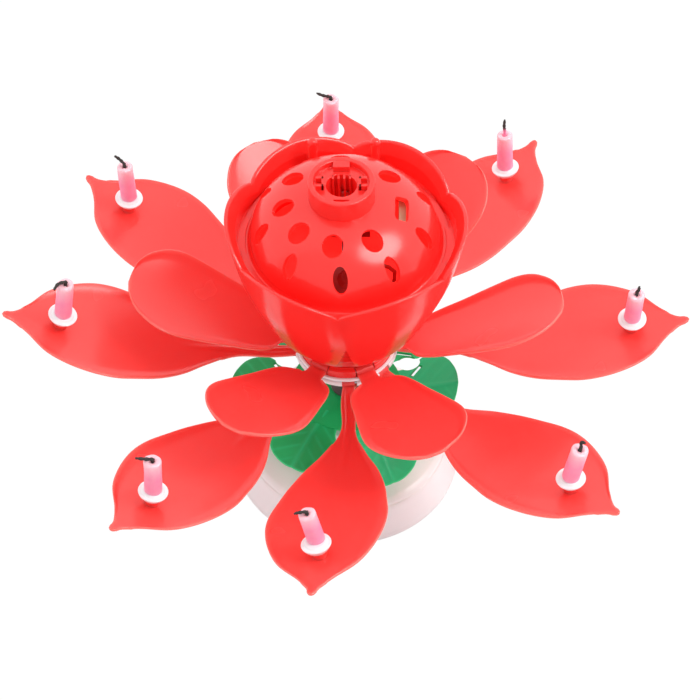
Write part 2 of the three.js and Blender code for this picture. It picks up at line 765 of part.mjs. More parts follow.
// One petal on its hinge barrel with any bosses: x runs out from the hinge, z is its inner face
function petal(shape, ...bosses) {
  const rows = smoothShares(shape.outline, shape.rows);
  const columns = 5;
  const sheet = closedSheet(rows.length, columns, (i, j, side) => {
    const across = (2 * j) / (columns - 1) - 1;
    const width = shape.halfWidth * rows[i].y;
    const along = shape.length * rows[i].x;
    const height = petalHeight(shape, along, across * rows[i].y) + (side * shape.thickness) / 2;
    const onSpine = j === (columns - 1) / 2 && side > 0;
    return [along, width * across, height + (onSpine ? shape.rib * Math.max(0, 1 - along / ribLength) : 0)];
  });
  const barrel = new THREE.CylinderGeometry(barrelRadius, barrelRadius, shape.barrel, barrelSides);
  const bore = new THREE.CylinderGeometry(barrelBore, barrelBore, shape.barrel + overrun, barrelSides);
  const body = joined(solid(sheet), barrel, ...bosses);
  return geometryOf(cut(body, bore));
}

// The middle of a petal's thickness at a place along it, with across as a share of its greatest half width
function petalHeight(shape, along, across) {
  return shape.cupping * across * across - shape.sag * between(shape.spine, along / shape.length);
}

// A spine table made smooth
function smoothSpine(shares) {
  return smoothShares(shares, 6 * shares.length).map((point) => [point.x, point.y]);
}

const outerShape = {
  outline: outerOutlineShares, spine: smoothSpine(outerSpineShares), rows: 11, length: outerLength,
  halfWidth: outerHalfWidth, barrel: outerHinge.barrel, sag: outerSag, thickness: outerThickness,
  cupping: outerCupping, rib: ribHeight,
};
const innerShape = {
  outline: innerOutlineShares, spine: smoothSpine(innerSpineShares), rows: 8, length: innerLength,
  halfWidth: innerHalfWidth, barrel: innerHinge.barrel, sag: innerSag, thickness: innerThickness,
  cupping: innerCupping, rib: 0,
};

// The stub that lifts a dish clear of its petal
const dishAlong = outerLength - dishSetback;
const stubFoot = petalHeight(outerShape, dishAlong, 0);
const stubTop = stubFoot + outerThickness / 2 + stubHeight;
const dishBottom = stubTop + gap;
const dishStub = cylinder(stubRadius, stubFoot, stubTop, tinySides).translate(dishAlong, 0, 0);

function dish(name) {
  const recess = candleRadius + gap + candleEdge;
  return named(name, welded(revolved([
    [0, 0], [dishFootRadius, 0], [dishRadius, dishHeight - dishRim], [dishRadius, dishHeight],
    [recess, dishHeight], [recess - gap, dishFloor], [0, dishFloor],
  ], smallSides)), white);
}

function candle(name) {
  return named(name, welded(revolved([
    [0, 0], [candleRadius, 0], [candleRadius, candleLength - candleEdge],
    [candleRadius - candleEdge, candleLength], [wickSocketRadius, candleLength],
    [wickSocketRadius, candleLength - wickSocketDepth],
    [0, candleLength - wickSocketDepth],
  ], smallSides)), pink);
}

function wick(name, shape) {
  const start = candleLength - wickSocketDepth + gap;
  const bends = shape.map(([along, across, up]) => [
    along * wickReach / 2, across * wickReach / 2, candleLength + up * wickReach / 2,
  ]);
  const route = [[0, 0, start], [0, 0, candleLength], ...bends];
  return named(name, welded(tube(route, wickRadius, wickSides, 4)), soot);
}

// A group at a hinge, turned so that x runs out along the petal
function hingeFrame(hinge, azimuth, yaw, tilt, roll) {
  const around = new THREE.Group();
  around.rotation.z = radians(azimuth);
  const swing = new THREE.Group();
  swing.position.set(hinge.radius, 0, hinge.height);
  swing.rotation.y = -radians(tilt);
  const sway = new THREE.Group();
  sway.rotation.set(radians(roll), 0, radians(yaw), 'ZYX');
  around.add(swing);
  swing.add(sway);
  return [around, sway];
}

function outerPetal(i) {
  const azimuth = azimuths(outerCount, outerPhase)[i];
  const [around, frame] = hingeFrame(outerHinge, azimuth, outerYaws[i], outerTilts[i], outerRolls[i]);
  const number = i + 1;
  const seat = new THREE.Group();
  seat.position.set(dishAlong, 0, dishBottom);
  const stick = new THREE.Group();
  stick.position.z = dishFloor + gap + candleEdge;
  stick.rotation.set(-radians(candleLeansAcross[i]), radians(candleLeansAlong[i]), 0);
  frame.add(named(`outer_petal_${number}`, petal(outerShape, dishStub), red), seat);
  seat.add(dish(`candle_dish_${number}`), stick);
  stick.add(candle(`candle_${number}`), wick(`wick_${number}`, wickShapeShares[i]));
  return around;
}

function innerPetal(i) {
  const azimuth = azimuths(innerCount, innerPhase)[i];
  const [around, frame] = hingeFrame(innerHinge, azimuth, innerYaws[i], innerTilts[i], innerRolls[i]);
  frame.add(named(`inner_petal_${i + 1}`, petal(innerShape), red));
  return around;
}

const object = new THREE.Group();
object.add(standShell(), standPlate(), stemPost(), spindle(), leafWhorl());
object.add(hubRing(), hingeWire('outer_hinge_wire', outerHinge), hingeWire('inner_hinge_wire', innerHinge));
object.add(cup(), domeCap(), spinMotor(), boardTray(), batteryHolder());
object.add(buttonCell('button_cell_1', 0), buttonCell('button_cell_2', 1));
object.add(sounder(), soundBoard(), triggerContact(), leadWire());
for (let i = 0; i < outerCount; i++) object.add(outerPetal(i));
for (let i = 0; i < innerCount; i++) object.add(innerPetal(i));

export default object;
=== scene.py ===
# Looks of the musical lotus candle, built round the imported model. Lengths are in millimetres, and MM
# turns them into Blender's metres where a mesh, a place or a bump is made. The stage is in metres.
import json
import math
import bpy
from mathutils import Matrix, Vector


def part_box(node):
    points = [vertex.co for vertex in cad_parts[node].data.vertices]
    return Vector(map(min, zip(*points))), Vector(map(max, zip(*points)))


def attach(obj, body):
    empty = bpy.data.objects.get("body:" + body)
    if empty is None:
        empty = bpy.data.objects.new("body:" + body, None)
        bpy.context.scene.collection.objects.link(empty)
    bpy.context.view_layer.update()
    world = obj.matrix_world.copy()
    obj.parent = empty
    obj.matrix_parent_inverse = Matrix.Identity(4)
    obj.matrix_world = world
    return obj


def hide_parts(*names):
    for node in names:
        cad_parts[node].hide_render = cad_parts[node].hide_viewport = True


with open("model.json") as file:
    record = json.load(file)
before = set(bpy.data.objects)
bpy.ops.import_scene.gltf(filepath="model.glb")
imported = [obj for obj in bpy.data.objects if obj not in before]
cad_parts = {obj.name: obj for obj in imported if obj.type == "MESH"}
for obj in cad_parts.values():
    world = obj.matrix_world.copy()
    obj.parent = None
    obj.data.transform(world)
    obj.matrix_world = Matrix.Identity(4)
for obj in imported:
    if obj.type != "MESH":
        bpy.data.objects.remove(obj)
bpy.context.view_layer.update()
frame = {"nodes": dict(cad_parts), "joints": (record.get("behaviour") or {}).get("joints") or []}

from types import SimpleNamespace

import bmesh
import bpy
from mathutils import Matrix, Vector, noise

bl_info = {
    "name": "Lotus candle",
    "version": (1, 0, 0),
    "blender": (4, 5, 0),
    "location": "View3D > Sidebar > Lotus candle",
    "description": "Builds the visible surfaces of a musical lotus candle round its working model",
    "category": "Object",
}

MM = 0.001
JOINTS = {joint["name"]: joint for joint in frame["joints"]}

# Steps of the fine meshes
RIM_STEPS = 4
FILLET_STEPS = 4
ROUND_SIDES = 96
FOOT_SIDES = 128
CUP_SIDES = 180
DISH_SIDES = 64
SMALL_SIDES = 40
BARREL_SIDES = 32
WICK_SIDES = 16
OUTLINE_STEPS = 400
SPINE_STEPS = 400

# Points closer than this are one, and the paler edge of a moulding fades over this
WELD = 0.001
EDGE_FADE = 0.4

# Where each petal rests: its tilt above level, its turn on the hinge and its roll, in degrees
OUTER_TILTS = (3.2, 2.4, 2.4, 5.6, 15, 10.2, 11.1, 6.3)
OUTER_YAWS = (0, 5.8, -0.9, 3.7, -0.4, 1.7, -10.7, -1.1)
OUTER_ROLLS = (4.7, -8.6, -1.4, 2.5, -1.4, -1.8, 9, 0.4)
INNER_TILTS = (25.5, 30.6, 33.7, 24.9, 27.9, 23)
INNER_YAWS = (-0.4, -1, 3.5, 3, 5.2, -2.2)
INNER_ROLLS = (-6.3, -0.2, 6, -3.8, 1.1, 2.2)

# The outer petal at the front: how far its stalk bows to its left, how far its candle stands in from the
# middle of the dish, and how much of that candle is left
FRONT_PETAL = 7
FRONT_STALK_BOW = 1.3
FRONT_CANDLE_SHIFT = 1
FRONT_CANDLE_SHARE = 0.84

# How each candle leans out along its petal and across it, in degrees
LEANS_ALONG = (2.3, 1.4, 2.3, 6, 7.4, 10.7, 10.5, 14.4)
LEANS_ACROSS = (-6.4, -5.8, -1.7, 4.8, 2.8, 1.6, -1.4, 1.8)

# Outlines as shares of the length and of the half width
OUTER_OUTLINE_SHARES = (
    (0, 0.11), (0.08, 0.13), (0.2, 0.14), (0.3, 0.375), (0.38, 0.63), (0.46, 0.807), (0.54, 0.915),
    (0.62, 0.993), (0.7, 0.976), (0.78, 0.858), (0.85, 0.658), (0.91, 0.327), (0.96, 0.116), (0.99, 0.07),
    (1, 0),
)
INNER_OUTLINE_SHARES = (
    (0, 0.18), (0.08, 0.22), (0.16, 0.53), (0.26, 0.675), (0.4, 0.785), (0.55, 0.905), (0.7, 1),
    (0.8, 0.972), (0.88, 0.837), (0.94, 0.647), (0.98, 0.387), (1, 0),
)
LEAF_OUTLINE_SHARES = (
    (0, 0.5), (0.14, 0.51), (0.3, 0.6), (0.42, 0.79), (0.53, 0.97), (0.64, 1), (0.76, 0.97), (0.86, 0.82),
    (0.94, 0.55), (0.98, 0.3), (1, 0),
)

# The line along the middle of a petal as shares of the length and of the sag
OUTER_SPINE_SHARES = (
    (0, 0), (0.1, 0.4), (0.22, 0.7), (0.42, 1), (0.58, 0.84), (0.7, 0.6), (0.81, 0.45), (0.91, 0.3), (1, 0),
)
INNER_SPINE_SHARES = ((0, 0), (0.045, 0.4), (0.09, 0.7), (0.3, 1), (0.65, 0.85), (1, 0.5))

# The wick that pink wax still covers at its foot
WAXED_WICK = 2

# Wick bends as shares of half their reach: along the petal, across it and up the candle
WICK_REACH = 6
WICK_SHAPE_SHARES = (
    ((0, 0, 0.4), (0.1, -0.1, 0.8), (0.15, 0.1, 1.2)),
    ((0, 0, 0.5), (0, 0.05, 1.1), (0.1, 0.05, 1.9)),
    ((0, 0.1, 0.2), (0, 0.8, 0.4), (0.1, 1.5, 0.7)),
    ((0, 0, 0.3), (0.5, 0.1, 0.8), (0.9, 0.3, 1.2)),
    ((0, 0, 0.3), (0.7, 0.3, 0.3), (1.1, 0.9, 0.1)),
    ((0, 0, 0.2), (0.5, -0.5, 0.3), (1.1, -1.1, 0.5)),
    ((0, 0, 0.2), (0.1, -0.6, 0.3), (0.2, -1.1, 0.3)),
    ((0, 0, 0.4), (-0.2, 0.2, 0.8), (0.2, 0.1, 1.2)),
)

# Both kinds of petal: how far the middle sags and the sides rise, the rib on the stalk and the raised edge
OUTER = SimpleNamespace(
    kind="outer", outline=OUTER_OUTLINE_SHARES, spine=OUTER_SPINE_SHARES, length=90.2, half_width=17.3,
    sag=5.2, cupping=1.5, rib=0.7, fold=0.5, fold_start=0.8, tilts=OUTER_TILTS, yaws=OUTER_YAWS,
    rolls=OUTER_ROLLS,
)
INNER = SimpleNamespace(
    kind="inner", outline=INNER_OUTLINE_SHARES, spine=INNER_SPINE_SHARES, length=56, half_width=15.1,
    sag=2.2, cupping=2.1, rib=0, fold=0.7, fold_start=0.78, tilts=INNER_TILTS, yaws=INNER_YAWS,
    rolls=INNER_ROLLS,
)
BLADE_RADIUS = 0.5
BLADE_STATIONS = 90
BLADE_INSET = 1.3
RIB_LENGTH = 38
RIB_WIDTH = 0.9
STALK_WIDTH = 4
BARREL_RADIUS = 1.75
BARREL_BORE = 1.25

DISH_ALONG = 72.8
DISH_RADIUS = 4.35
DISH_FOOT = 3
DISH_HEIGHT = 2.2
DISH_RIM = 0.6
DISH_TOP = 2.8
STUB_RADIUS = 1.9
STUB_RISE = 2.9
GAP = 0.3
CANDLE_FOOT = 2.82
CANDLE_RADIUS = 2.55
SEAT_RADIUS = CANDLE_RADIUS + 0.4
CANDLE_LENGTH = 14
CANDLE_TAPER = 0.05
WICK_RADIUS = 0.47


def smoothstep(value, low, high):
    """A smooth rise from 0 at low to 1 at high."""
    share = min(1, max(0, (value - low) / (high - low)))
    return share * share * (3 - 2 * share)


# Places

def moved(x, y, z):
    """The matrix of a move."""
    return Matrix.Translation((x * MM, y * MM, z * MM))


def rotated(degrees, axis):
    """The matrix of a turn about X, Y or Z."""
    return Matrix.Rotation(math.radians(degrees), 4, axis)


def heights(corners):
    """The bottom and the top of a node's box."""
    return [corner.z / MM for corner in corners]


# Meshes

def new_point(bm, x, y, z):
    """A point of a mesh that is being made."""
    return bm.verts.new((x * MM, y * MM, z * MM))


def finished(name, bm, smooth=True):
    """Welds a mesh, points its faces out and makes its object."""
    bmesh.ops.remove_doubles(bm, verts=bm.verts, dist=WELD * MM)
    bmesh.ops.dissolve_degenerate(bm, edges=bm.edges, dist=WELD * MM)
    bmesh.ops.recalc_face_normals(bm, faces=bm.faces)
    for face in bm.faces:
        face.smooth = smooth
    mesh = bpy.data.meshes.new(name)
    bm.to_mesh(mesh)
    bm.free()
    piece = bpy.data.objects.new(name, mesh)
    bpy.context.scene.collection.objects.link(piece)
    return piece


def curve_through(points, count):
    """Evenly counted points on a smooth curve through a list of points."""
    points = [Vector(p) for p in points]
    ends = [2 * points[0] - points[1]] + points + [2 * points[-1] - points[-2]]
    spans = len(points) - 1
    made = []
    for step in range(count):
        place = spans * step / (count - 1)
        k = min(int(place), spans - 1)
        t = place - k
        a, b, c, d = ends[k:k + 4]
        made.append(0.5 * (2 * b + (c - a) * t + (2 * a - 5 * b + 4 * c - d) * t * t
                           + (3 * b - a - 3 * c + d) * t ** 3))
    return made


def filleted(points, closed=False):
    """Rounds the corners of a profile whose points are (radius, height, fillet)."""
    count = len(points)
    made = []
    for i, (x, y, fillet) in enumerate(points):
        here = Vector((x, y))
        if fillet == 0 or not closed and i in (0, count - 1):
            made.append(here)
            continue
        before = Vector(points[i - 1][:2]) - here
        after = Vector(points[(i + 1) % count][:2]) - here
        reach = min(fillet, before.length * 0.49, after.length * 0.49)
        start = here + before.normalized() * reach
        end = here + after.normalized() * reach
        for step in range(FILLET_STEPS + 1):
            t = step / FILLET_STEPS
            made.append(start * (1 - t) ** 2 + here * 2 * t * (1 - t) + end * t * t)
    return made


def turned(name, points, closed=False, sides=ROUND_SIDES, shape=None):
    """Turns a profile round the Z axis. shape(azimuth, radius, height) may move each point."""
    profile = filleted(points, closed)
    bm = bmesh.new()
    rings = []
    for side in range(sides):
        azimuth = 2 * math.pi * side / sides
        ring = []
        for radius, height in profile:
            if shape:
                radius, height = shape(azimuth, radius, height)
            ring.append(new_point(bm, radius * math.cos(azimuth), radius * math.sin(azimuth), height))
        rings.append(ring)
    last = len(profile) if closed else len(profile) - 1
    for side in range(sides):
        here, there = rings[side], rings[(side + 1) % sides]
        for k in range(last):
            n = (k + 1) % len(profile)
            bm.faces.new((here[k], there[k], there[n], here[n]))
    return finished(name, bm)


def tube_faces(bm, rings):
    """Joins closed rings of points, one after another, and closes both ends."""
    sides = len(rings[0])
    for here, there in zip(rings, rings[1:]):
        for k in range(sides):
            n = (k + 1) % sides
            bm.faces.new((here[k], here[n], there[n], there[k]))
    bm.faces.new(rings[0])
    bm.faces.new(rings[-1])


def swept(name, points, radius_at, sides):
    """A closed tube along points; radius_at(share along, angle) gives its radius."""
    bm = bmesh.new()
    rings = []
    side_axis = None
    for i, point in enumerate(points):
        ahead = (points[min(i + 1, len(points) - 1)] - points[max(i - 1, 0)]).normalized()
        if side_axis is None:
            side_axis = ahead.orthogonal().normalized()
        side_axis = (side_axis - ahead * side_axis.dot(ahead)).normalized()
        up = ahead.cross(side_axis)
        ring = []
        for k in range(sides):
            angle = 2 * math.pi * k / sides
            outward = side_axis * math.cos(angle) + up * math.sin(angle)
            ring.append(new_point(bm, *(point + radius_at(i / (len(points) - 1), angle) * outward)))
        rings.append(ring)
    tube_faces(bm, rings)
    return finished(name, bm)


def rim_columns(width, radius, inner):
    """Places across half a sheet, with the half thickness there, from its edge to its middle."""
    inset_reach = min(radius, width)
    columns = []
    for step in range(RIM_STEPS + 1):
        angle = math.pi / 2 * step / RIM_STEPS
        columns.append((width - inset_reach * (1 - math.cos(angle)), math.sin(angle)))
    for step in range(1, inner + 1):
        columns.append(((width - inset_reach) * (1 - step / inner), 1))
    return columns


def sheet(name, stations, radius, height, inner=14):
    """A thin closed sheet with a half-round rim. stations are (along, half width)."""
    bm = bmesh.new()
    edge_layer = bm.verts.layers.float.new("edge")
    start, end = stations[0][0], stations[-1][0]
    tops, bottoms = [], []
    for along, width in stations:
        near_end = min(along - start, end - along)
        taper = 1 if near_end >= radius else math.sqrt(max(0, 1 - (1 - near_end / radius) ** 2))
        half = rim_columns(width, radius, inner)
        across = half + [(-y, t) for y, t in reversed(half[:-1])]
        rows = ([], [])
        for y, t in across:
            middle = height(along, y, width)
            for row, side in zip(rows, (1, -1)):
                vert = new_point(bm, along, y, middle + side * radius * t * taper)
                vert[edge_layer] = math.exp(-min(width - abs(y), end - along) / EDGE_FADE)
                row.append(vert)
        tops.append(rows[0])
        bottoms.append(rows[1])
    for grid, flip in ((tops, False), (bottoms, True)):
        for here, there in zip(grid, grid[1:]):
            for j in range(len(here) - 1):
                quad = (here[j], here[j + 1], there[j + 1], there[j])
                bm.faces.new(tuple(reversed(quad)) if flip else quad)
    return finished(name, bm)


def outline_stations(shares, length, half_width, count, radius):
    """Stations (along, half width) on a smooth outline, closer together at both ends."""
    curve = curve_through([(a, w, 0) for a, w in shares], OUTLINE_STEPS)
    insets = [radius * (1 - math.cos(math.pi / 2 * k / RIM_STEPS)) / length for k in range(RIM_STEPS)]
    places = insets + [radius / length + (1 - 2 * radius / length) * k / count for k in range(count + 1)]
    places += [1 - inset for inset in reversed(insets)]
    stations = []
    for place in places:
        k = next((i for i in range(1, len(curve)) if curve[i].x >= place), len(curve) - 1)
        a, b = curve[k - 1], curve[k]
        t = (place - a.x) / (b.x - a.x) if b.x > a.x else 1
        width = a.y + (b.y - a.y) * min(1, max(0, t))
        stations.append((place * length, max(0, width) * half_width))
    return stations


def box_at(place, width, depth, height):
    """A box round a place."""
    bpy.ops.mesh.primitive_cube_add(size=1)
    box = bpy.context.object
    box.matrix_world = place @ Matrix.Diagonal((width * MM, depth * MM, height * MM, 1))
    return box


def rod_at(place, radius, length, stretch):
    """A rod through a place, made oval by a stretch across it."""
    bpy.ops.mesh.primitive_cylinder_add(vertices=SMALL_SIDES, radius=radius * MM, depth=length * MM)
    rod = bpy.context.object
    rod.matrix_world = place @ Matrix.Diagonal((stretch, 1, 1, 1))
    return rod


def float_layer(piece, name, value_at):
    """A value at each point of a piece, worked out from where the point is."""
    attribute = piece.data.attributes.new(name, "FLOAT", "POINT")
    for vert in piece.data.vertices:
        attribute.data[vert.index].value = value_at(vert.co / MM)


def carved(piece, cutters):
    """Cuts one object by several others, which are then removed."""
    for cutter in cutters:
        modifier = piece.modifiers.new("cut", "BOOLEAN")
        modifier.operation = "DIFFERENCE"
        modifier.solver = "EXACT"
        modifier.object = cutter
    settle(piece)
    for cutter in cutters:
        bpy.data.objects.remove(cutter)


def settle(piece):
    """Applies an object's modifiers to its mesh."""
    evaluated = piece.evaluated_get(bpy.context.evaluated_depsgraph_get())
    mesh = bpy.data.meshes.new_from_object(evaluated)
    piece.modifiers.clear()
    piece.data = mesh


def joined(name, pieces):
    """One object from several, each with its place kept."""
    bpy.context.view_layer.update()
    bm = bmesh.new()
    for piece in pieces:
        mesh = piece.data.copy()
        mesh.transform(piece.matrix_world)
        bm.from_mesh(mesh)
        bpy.data.objects.remove(piece)
    return finished(name, bm)


def shade_by_angle(piece, degrees=35):
    """Keeps smooth shading on curved faces and sharp edges where faces meet at an angle."""
    bm = bmesh.new()
    bm.from_mesh(piece.data)
    limit = math.radians(degrees)
    for edge in bm.edges:
        edge.smooth = len(edge.link_faces) == 2 and edge.calc_face_angle(0) < limit
    bm.to_mesh(piece.data)
    bm.free()


def coated(piece, finish):
    """Gives a piece one of the finishes, which are all made when the first is asked for."""
    if finish not in bpy.data.materials:
        make_finishes(bpy.context.scene.lotus_colours)
    piece.data.materials.clear()
    piece.data.materials.append(bpy.data.materials[finish])


def dressed(piece, body, finish, slot, *nodes):
    """Gives a piece its finish and its body, and hides the nodes that it stands for; slot is not used."""
    coated(piece, finish)
    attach(piece, body)
    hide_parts(*nodes)


def refinished(finish, *names):
    """Gives carried-over nodes a finer finish."""
    for name in names:
        coated(frame["nodes"][name], finish)


# Finishes

# How deep the relief is, how deep and how strongly light goes into the plastic and the wax, and how bright
# the painted glow is that stands for light coming through thin red plastic
WAVE_DEPTH = 0.012 * MM
GRAIN_DEPTH = 0.004 * MM
PLASTIC_IOR = 1.49
GLOSS_DRIFT = (0.9, 1.12)
GLOW_WEIGHT = 0.35
GLOW_DEPTHS = (3 * MM, 0.5 * MM, 0.4 * MM)
WAX_WEIGHT = 0.25
WAX_DEPTHS = (2.0 * MM, 0.8 * MM, 0.8 * MM)
PAINTED_GLOW_STRENGTH = 0.6


def fed(tree, made, inputs):
    """Sets a node's inputs, or links them where a socket is given."""
    for key, value in inputs.items():
        if isinstance(value, bpy.types.NodeSocket):
            tree.links.new(value, made.inputs[key])
        else:
            made.inputs[key].default_value = value
    return made


def node(tree, kind, inputs=None, **settings):
    """A new node with its inputs and its own settings."""
    made = tree.nodes.new(kind)
    for key, value in settings.items():
        setattr(made, key, value)
    return fed(tree, made, inputs or {})


def new_group(name, inputs, outputs):
    """An effect that several finishes share, with its input and output nodes."""
    tree = bpy.data.node_groups.new(name, "ShaderNodeTree")
    for label, default in inputs:
        socket = tree.interface.new_socket(label, in_out="INPUT", socket_type="NodeSocketFloat")
        socket.default_value = default
    for label in outputs:
        tree.interface.new_socket(label, in_out="OUTPUT", socket_type="NodeSocketFloat")
    return tree, tree.nodes.new("NodeGroupInput"), tree.nodes.new("NodeGroupOutput")


def clouds(tree, scale, detail=2.0, roughness=0.5):
    """Soft noise all over a piece."""
    place = node(tree, "ShaderNodeTexCoord")
    made = node(tree, "ShaderNodeTexNoise", {
        "Vector": place.outputs["Object"], "Scale": scale, "Detail": detail, "Roughness": roughness})
    return made.outputs["Fac"]


def flow_group():
    """Slow change in a moulding's thickness, as a mask and as a height."""
    tree, given, made = new_group("moulding_flow", [("Scale", 60.0), ("Contrast", 1.0)], ["Mask", "Height"])
    slow = clouds(tree, given.outputs["Scale"], detail=3.0, roughness=0.45)
    shifted = node(tree, "ShaderNodeMath", {0: slow, 1: 0.5}, operation="SUBTRACT")
    strong = node(tree, "ShaderNodeMath", {0: shifted.outputs[0], 1: given.outputs["Contrast"], 2: 0.5},
                  operation="MULTIPLY_ADD", use_clamp=True)
    fed(tree, made, {"Mask": strong.outputs[0], "Height": slow})


def grain_group():
    """Fine tooling grain."""
    tree, given, made = new_group("tool_grain", [("Scale", 2500.0)], ["Height"])
    fed(tree, made, {"Height": clouds(tree, given.outputs["Scale"])})


def group_node(tree, name, inputs=None):
    """One of the shared effects, placed in a finish."""
    return node(tree, "ShaderNodeGroup", inputs, node_tree=bpy.data.node_groups[name])


def new_finish(name):
    """A new material's nodes and its shader."""
    material = bpy.data.materials.new(name)
    material.use_nodes = True
    return material.node_tree, material.node_tree.nodes["Principled BSDF"]


def layer(tree, name):
    """A value that a piece's points carry."""
    return node(tree, "ShaderNodeAttribute", attribute_name=name).outputs["Fac"]


def mixed(tree, mask, first, second):
    """Mixes two colours by a mask; either may be a socket."""
    first, second = [
        colour if isinstance(colour, bpy.types.NodeSocket) else (*colour, 1) for colour in (first, second)]
    return node(tree, "ShaderNodeMix", {"Factor": mask, 6: first, 7: second}, data_type="RGBA").outputs[2]


def ranged(tree, value, low, high):
    """Maps a 0 to 1 value to a range."""
    return node(tree, "ShaderNodeMapRange", {"Value": value, "To Min": low, "To Max": high}).outputs["Result"]


def bumped(tree, height, depth, **inputs):
    """A normal that follows a height."""
    return node(tree, "ShaderNodeBump", {"Height": height, "Distance": depth, **inputs}).outputs["Normal"]


def moulded_plastic(name, deep, light, roughness, scale=60.0, rim=None, glows=False):
    """A glossy moulded plastic whose colour and gloss drift with its thickness; its rim may differ, and on
    the cup that rim colour is painted shade in the window's recess.
    """
    tree, shader = new_finish(name)
    flow = group_node(tree, "moulding_flow", {"Scale": scale})
    grain = group_node(tree, "tool_grain")
    colour = mixed(tree, flow.outputs["Mask"], deep, light)
    if rim:
        colour = mixed(tree, layer(tree, "edge"), colour, rim)
    wave = bumped(tree, flow.outputs["Height"], WAVE_DEPTH)
    low, high = [roughness * drift for drift in GLOSS_DRIFT]
    fed(tree, shader, {
        "Base Color": colour, "IOR": PLASTIC_IOR,
        "Roughness": ranged(tree, flow.outputs["Mask"], low, high),
        "Normal": bumped(tree, grain.outputs["Height"], GRAIN_DEPTH, Normal=wave)})
    if glows:
        fed(tree, shader, {
            "Subsurface Weight": GLOW_WEIGHT, "Subsurface Radius": GLOW_DEPTHS, "Subsurface Scale": 1.0})
    return tree, shader


def cup_plastic():
    """The red of the cup and the dome: darker in the window's recess as painted shade, and with a painted
    glow on the dome's inner face standing in for the light that comes through it.
    """
    # The rim colour here is a dark red painted shade, which the edge layer puts on the floor of the window's
    # recess
    tree, shader = moulded_plastic("cup_red_painted_shade_and_glow", (0.93, 0.024, 0.02), (0.95, 0.036, 0.031), 0.2, scale=35,
                                   rim=(0.68, 0.006, 0.004), glows=True)
    # Painted glow: the dome's inner face gives off red light, standing in for light coming through the thin
    # plastic
    painted_glow_colour = mixed(tree, layer(tree, "inside"), (0, 0, 0), (0.9, 0.02, 0.014))
    fed(tree, shader, {"Emission Color": painted_glow_colour, "Emission Strength": PAINTED_GLOW_STRENGTH})


def tray_plastic():
    """The tray under the dome, with a painted glow standing in for the light that comes through the thin red
    plastic round it.
    """
    tree, shader = moulded_plastic("tray_red_painted_glow", (0.8, 0.02, 0.018), (0.9, 0.04, 0.03), 0.35)
    # Painted glow: the tray gives off red light though it is no lamp
    fed(tree, shader, {"Emission Color": (0.9, 0.02, 0.015, 1), "Emission Strength": PAINTED_GLOW_STRENGTH})


def leaf_plastic(colours):
    """Green moulding, paler towards the leaf tips and along the veins, and paler over whole leaves where
    light is painted on them.
    """
    tree, shader = new_finish("leaf_green")
    flow = group_node(tree, "moulding_flow", {"Scale": 70.0, "Contrast": 1.8})
    grain = group_node(tree, "tool_grain")
    colour = mixed(tree, flow.outputs["Mask"], colours.leaf_deep, colours.leaf_light)
    # The vein layer carries both the paler veins and each leaf's painted light
    colour = mixed(tree, layer(tree, "vein"), colour, (0.03, 0.78, 0.34))
    colour = mixed(tree, layer(tree, "edge"), colour, (0.03, 0.62, 0.22))
    fed(tree, shader, {
        "Base Color": colour, "Roughness": ranged(tree, flow.outputs["Mask"], 0.35, 0.5),
        "Specular IOR Level": 0.3, "Normal": bumped(tree, grain.outputs["Height"], 0.01 * MM)})


def candle_wax(colours):
    """Pink wax, paler and softer towards the top."""
    tree, shader = new_finish("candle_wax")
    near_top = layer(tree, "near_top")
    flow = group_node(tree, "moulding_flow", {"Scale": 400.0, "Contrast": 1.4})
    colour = mixed(tree, flow.outputs["Mask"], colours.wax_pink, (0.98, 0.36, 0.5))
    fed(tree, shader, {
        "Base Color": mixed(tree, near_top, colour, (1.0, 0.55, 0.62)),
        "Roughness": ranged(tree, near_top, 0.5, 0.3), "Normal": bumped(tree, flow.outputs["Height"], 0.1 * MM),
        "Subsurface Weight": WAX_WEIGHT, "Subsurface Radius": WAX_DEPTHS, "Subsurface Scale": 1.0})


def charred_cotton(colours):
    """Charred cotton, with pink wax left low on it."""
    tree, shader = new_finish("wick_char")
    ash = clouds(tree, 2500.0)
    colour = mixed(tree, ash, (0.01, 0.009, 0.009), (0.06, 0.045, 0.04))
    fed(tree, shader, {
        "Base Color": mixed(tree, layer(tree, "waxed"), colour, colours.wax_pink), "Roughness": 0.85,
        "Normal": bumped(tree, ash, 0.1 * MM)})


def bare_metal(name, tint, roughness, scale):
    """Bare metal with fine drawn lines and a little tarnish."""
    tree, shader = new_finish(name)
    lines = clouds(tree, scale, detail=4.0)
    dull = tuple(c * 0.7 for c in tint)
    fed(tree, shader, {
        "Base Color": mixed(tree, clouds(tree, scale * 0.3), tint, dull), "Metallic": 1.0,
        "Roughness": ranged(tree, lines, roughness * 0.7, roughness * 1.5),
        "Normal": bumped(tree, lines, 0.01 * MM)})


def board_paper():
    """Tan paper-based circuit board with a woven speckle."""
    tree, shader = new_finish("board_tan")
    grain = group_node(tree, "tool_grain", {"Scale": 1800.0})
    flow = group_node(tree, "moulding_flow", {"Scale": 150.0, "Contrast": 1.5})
    fed(tree, shader, {
        "Base Color": mixed(tree, flow.outputs["Mask"], (0.36, 0.27, 0.14), (0.5, 0.42, 0.27)),
        "Roughness": 0.55, "Normal": bumped(tree, grain.outputs["Height"], 0.02 * MM)})


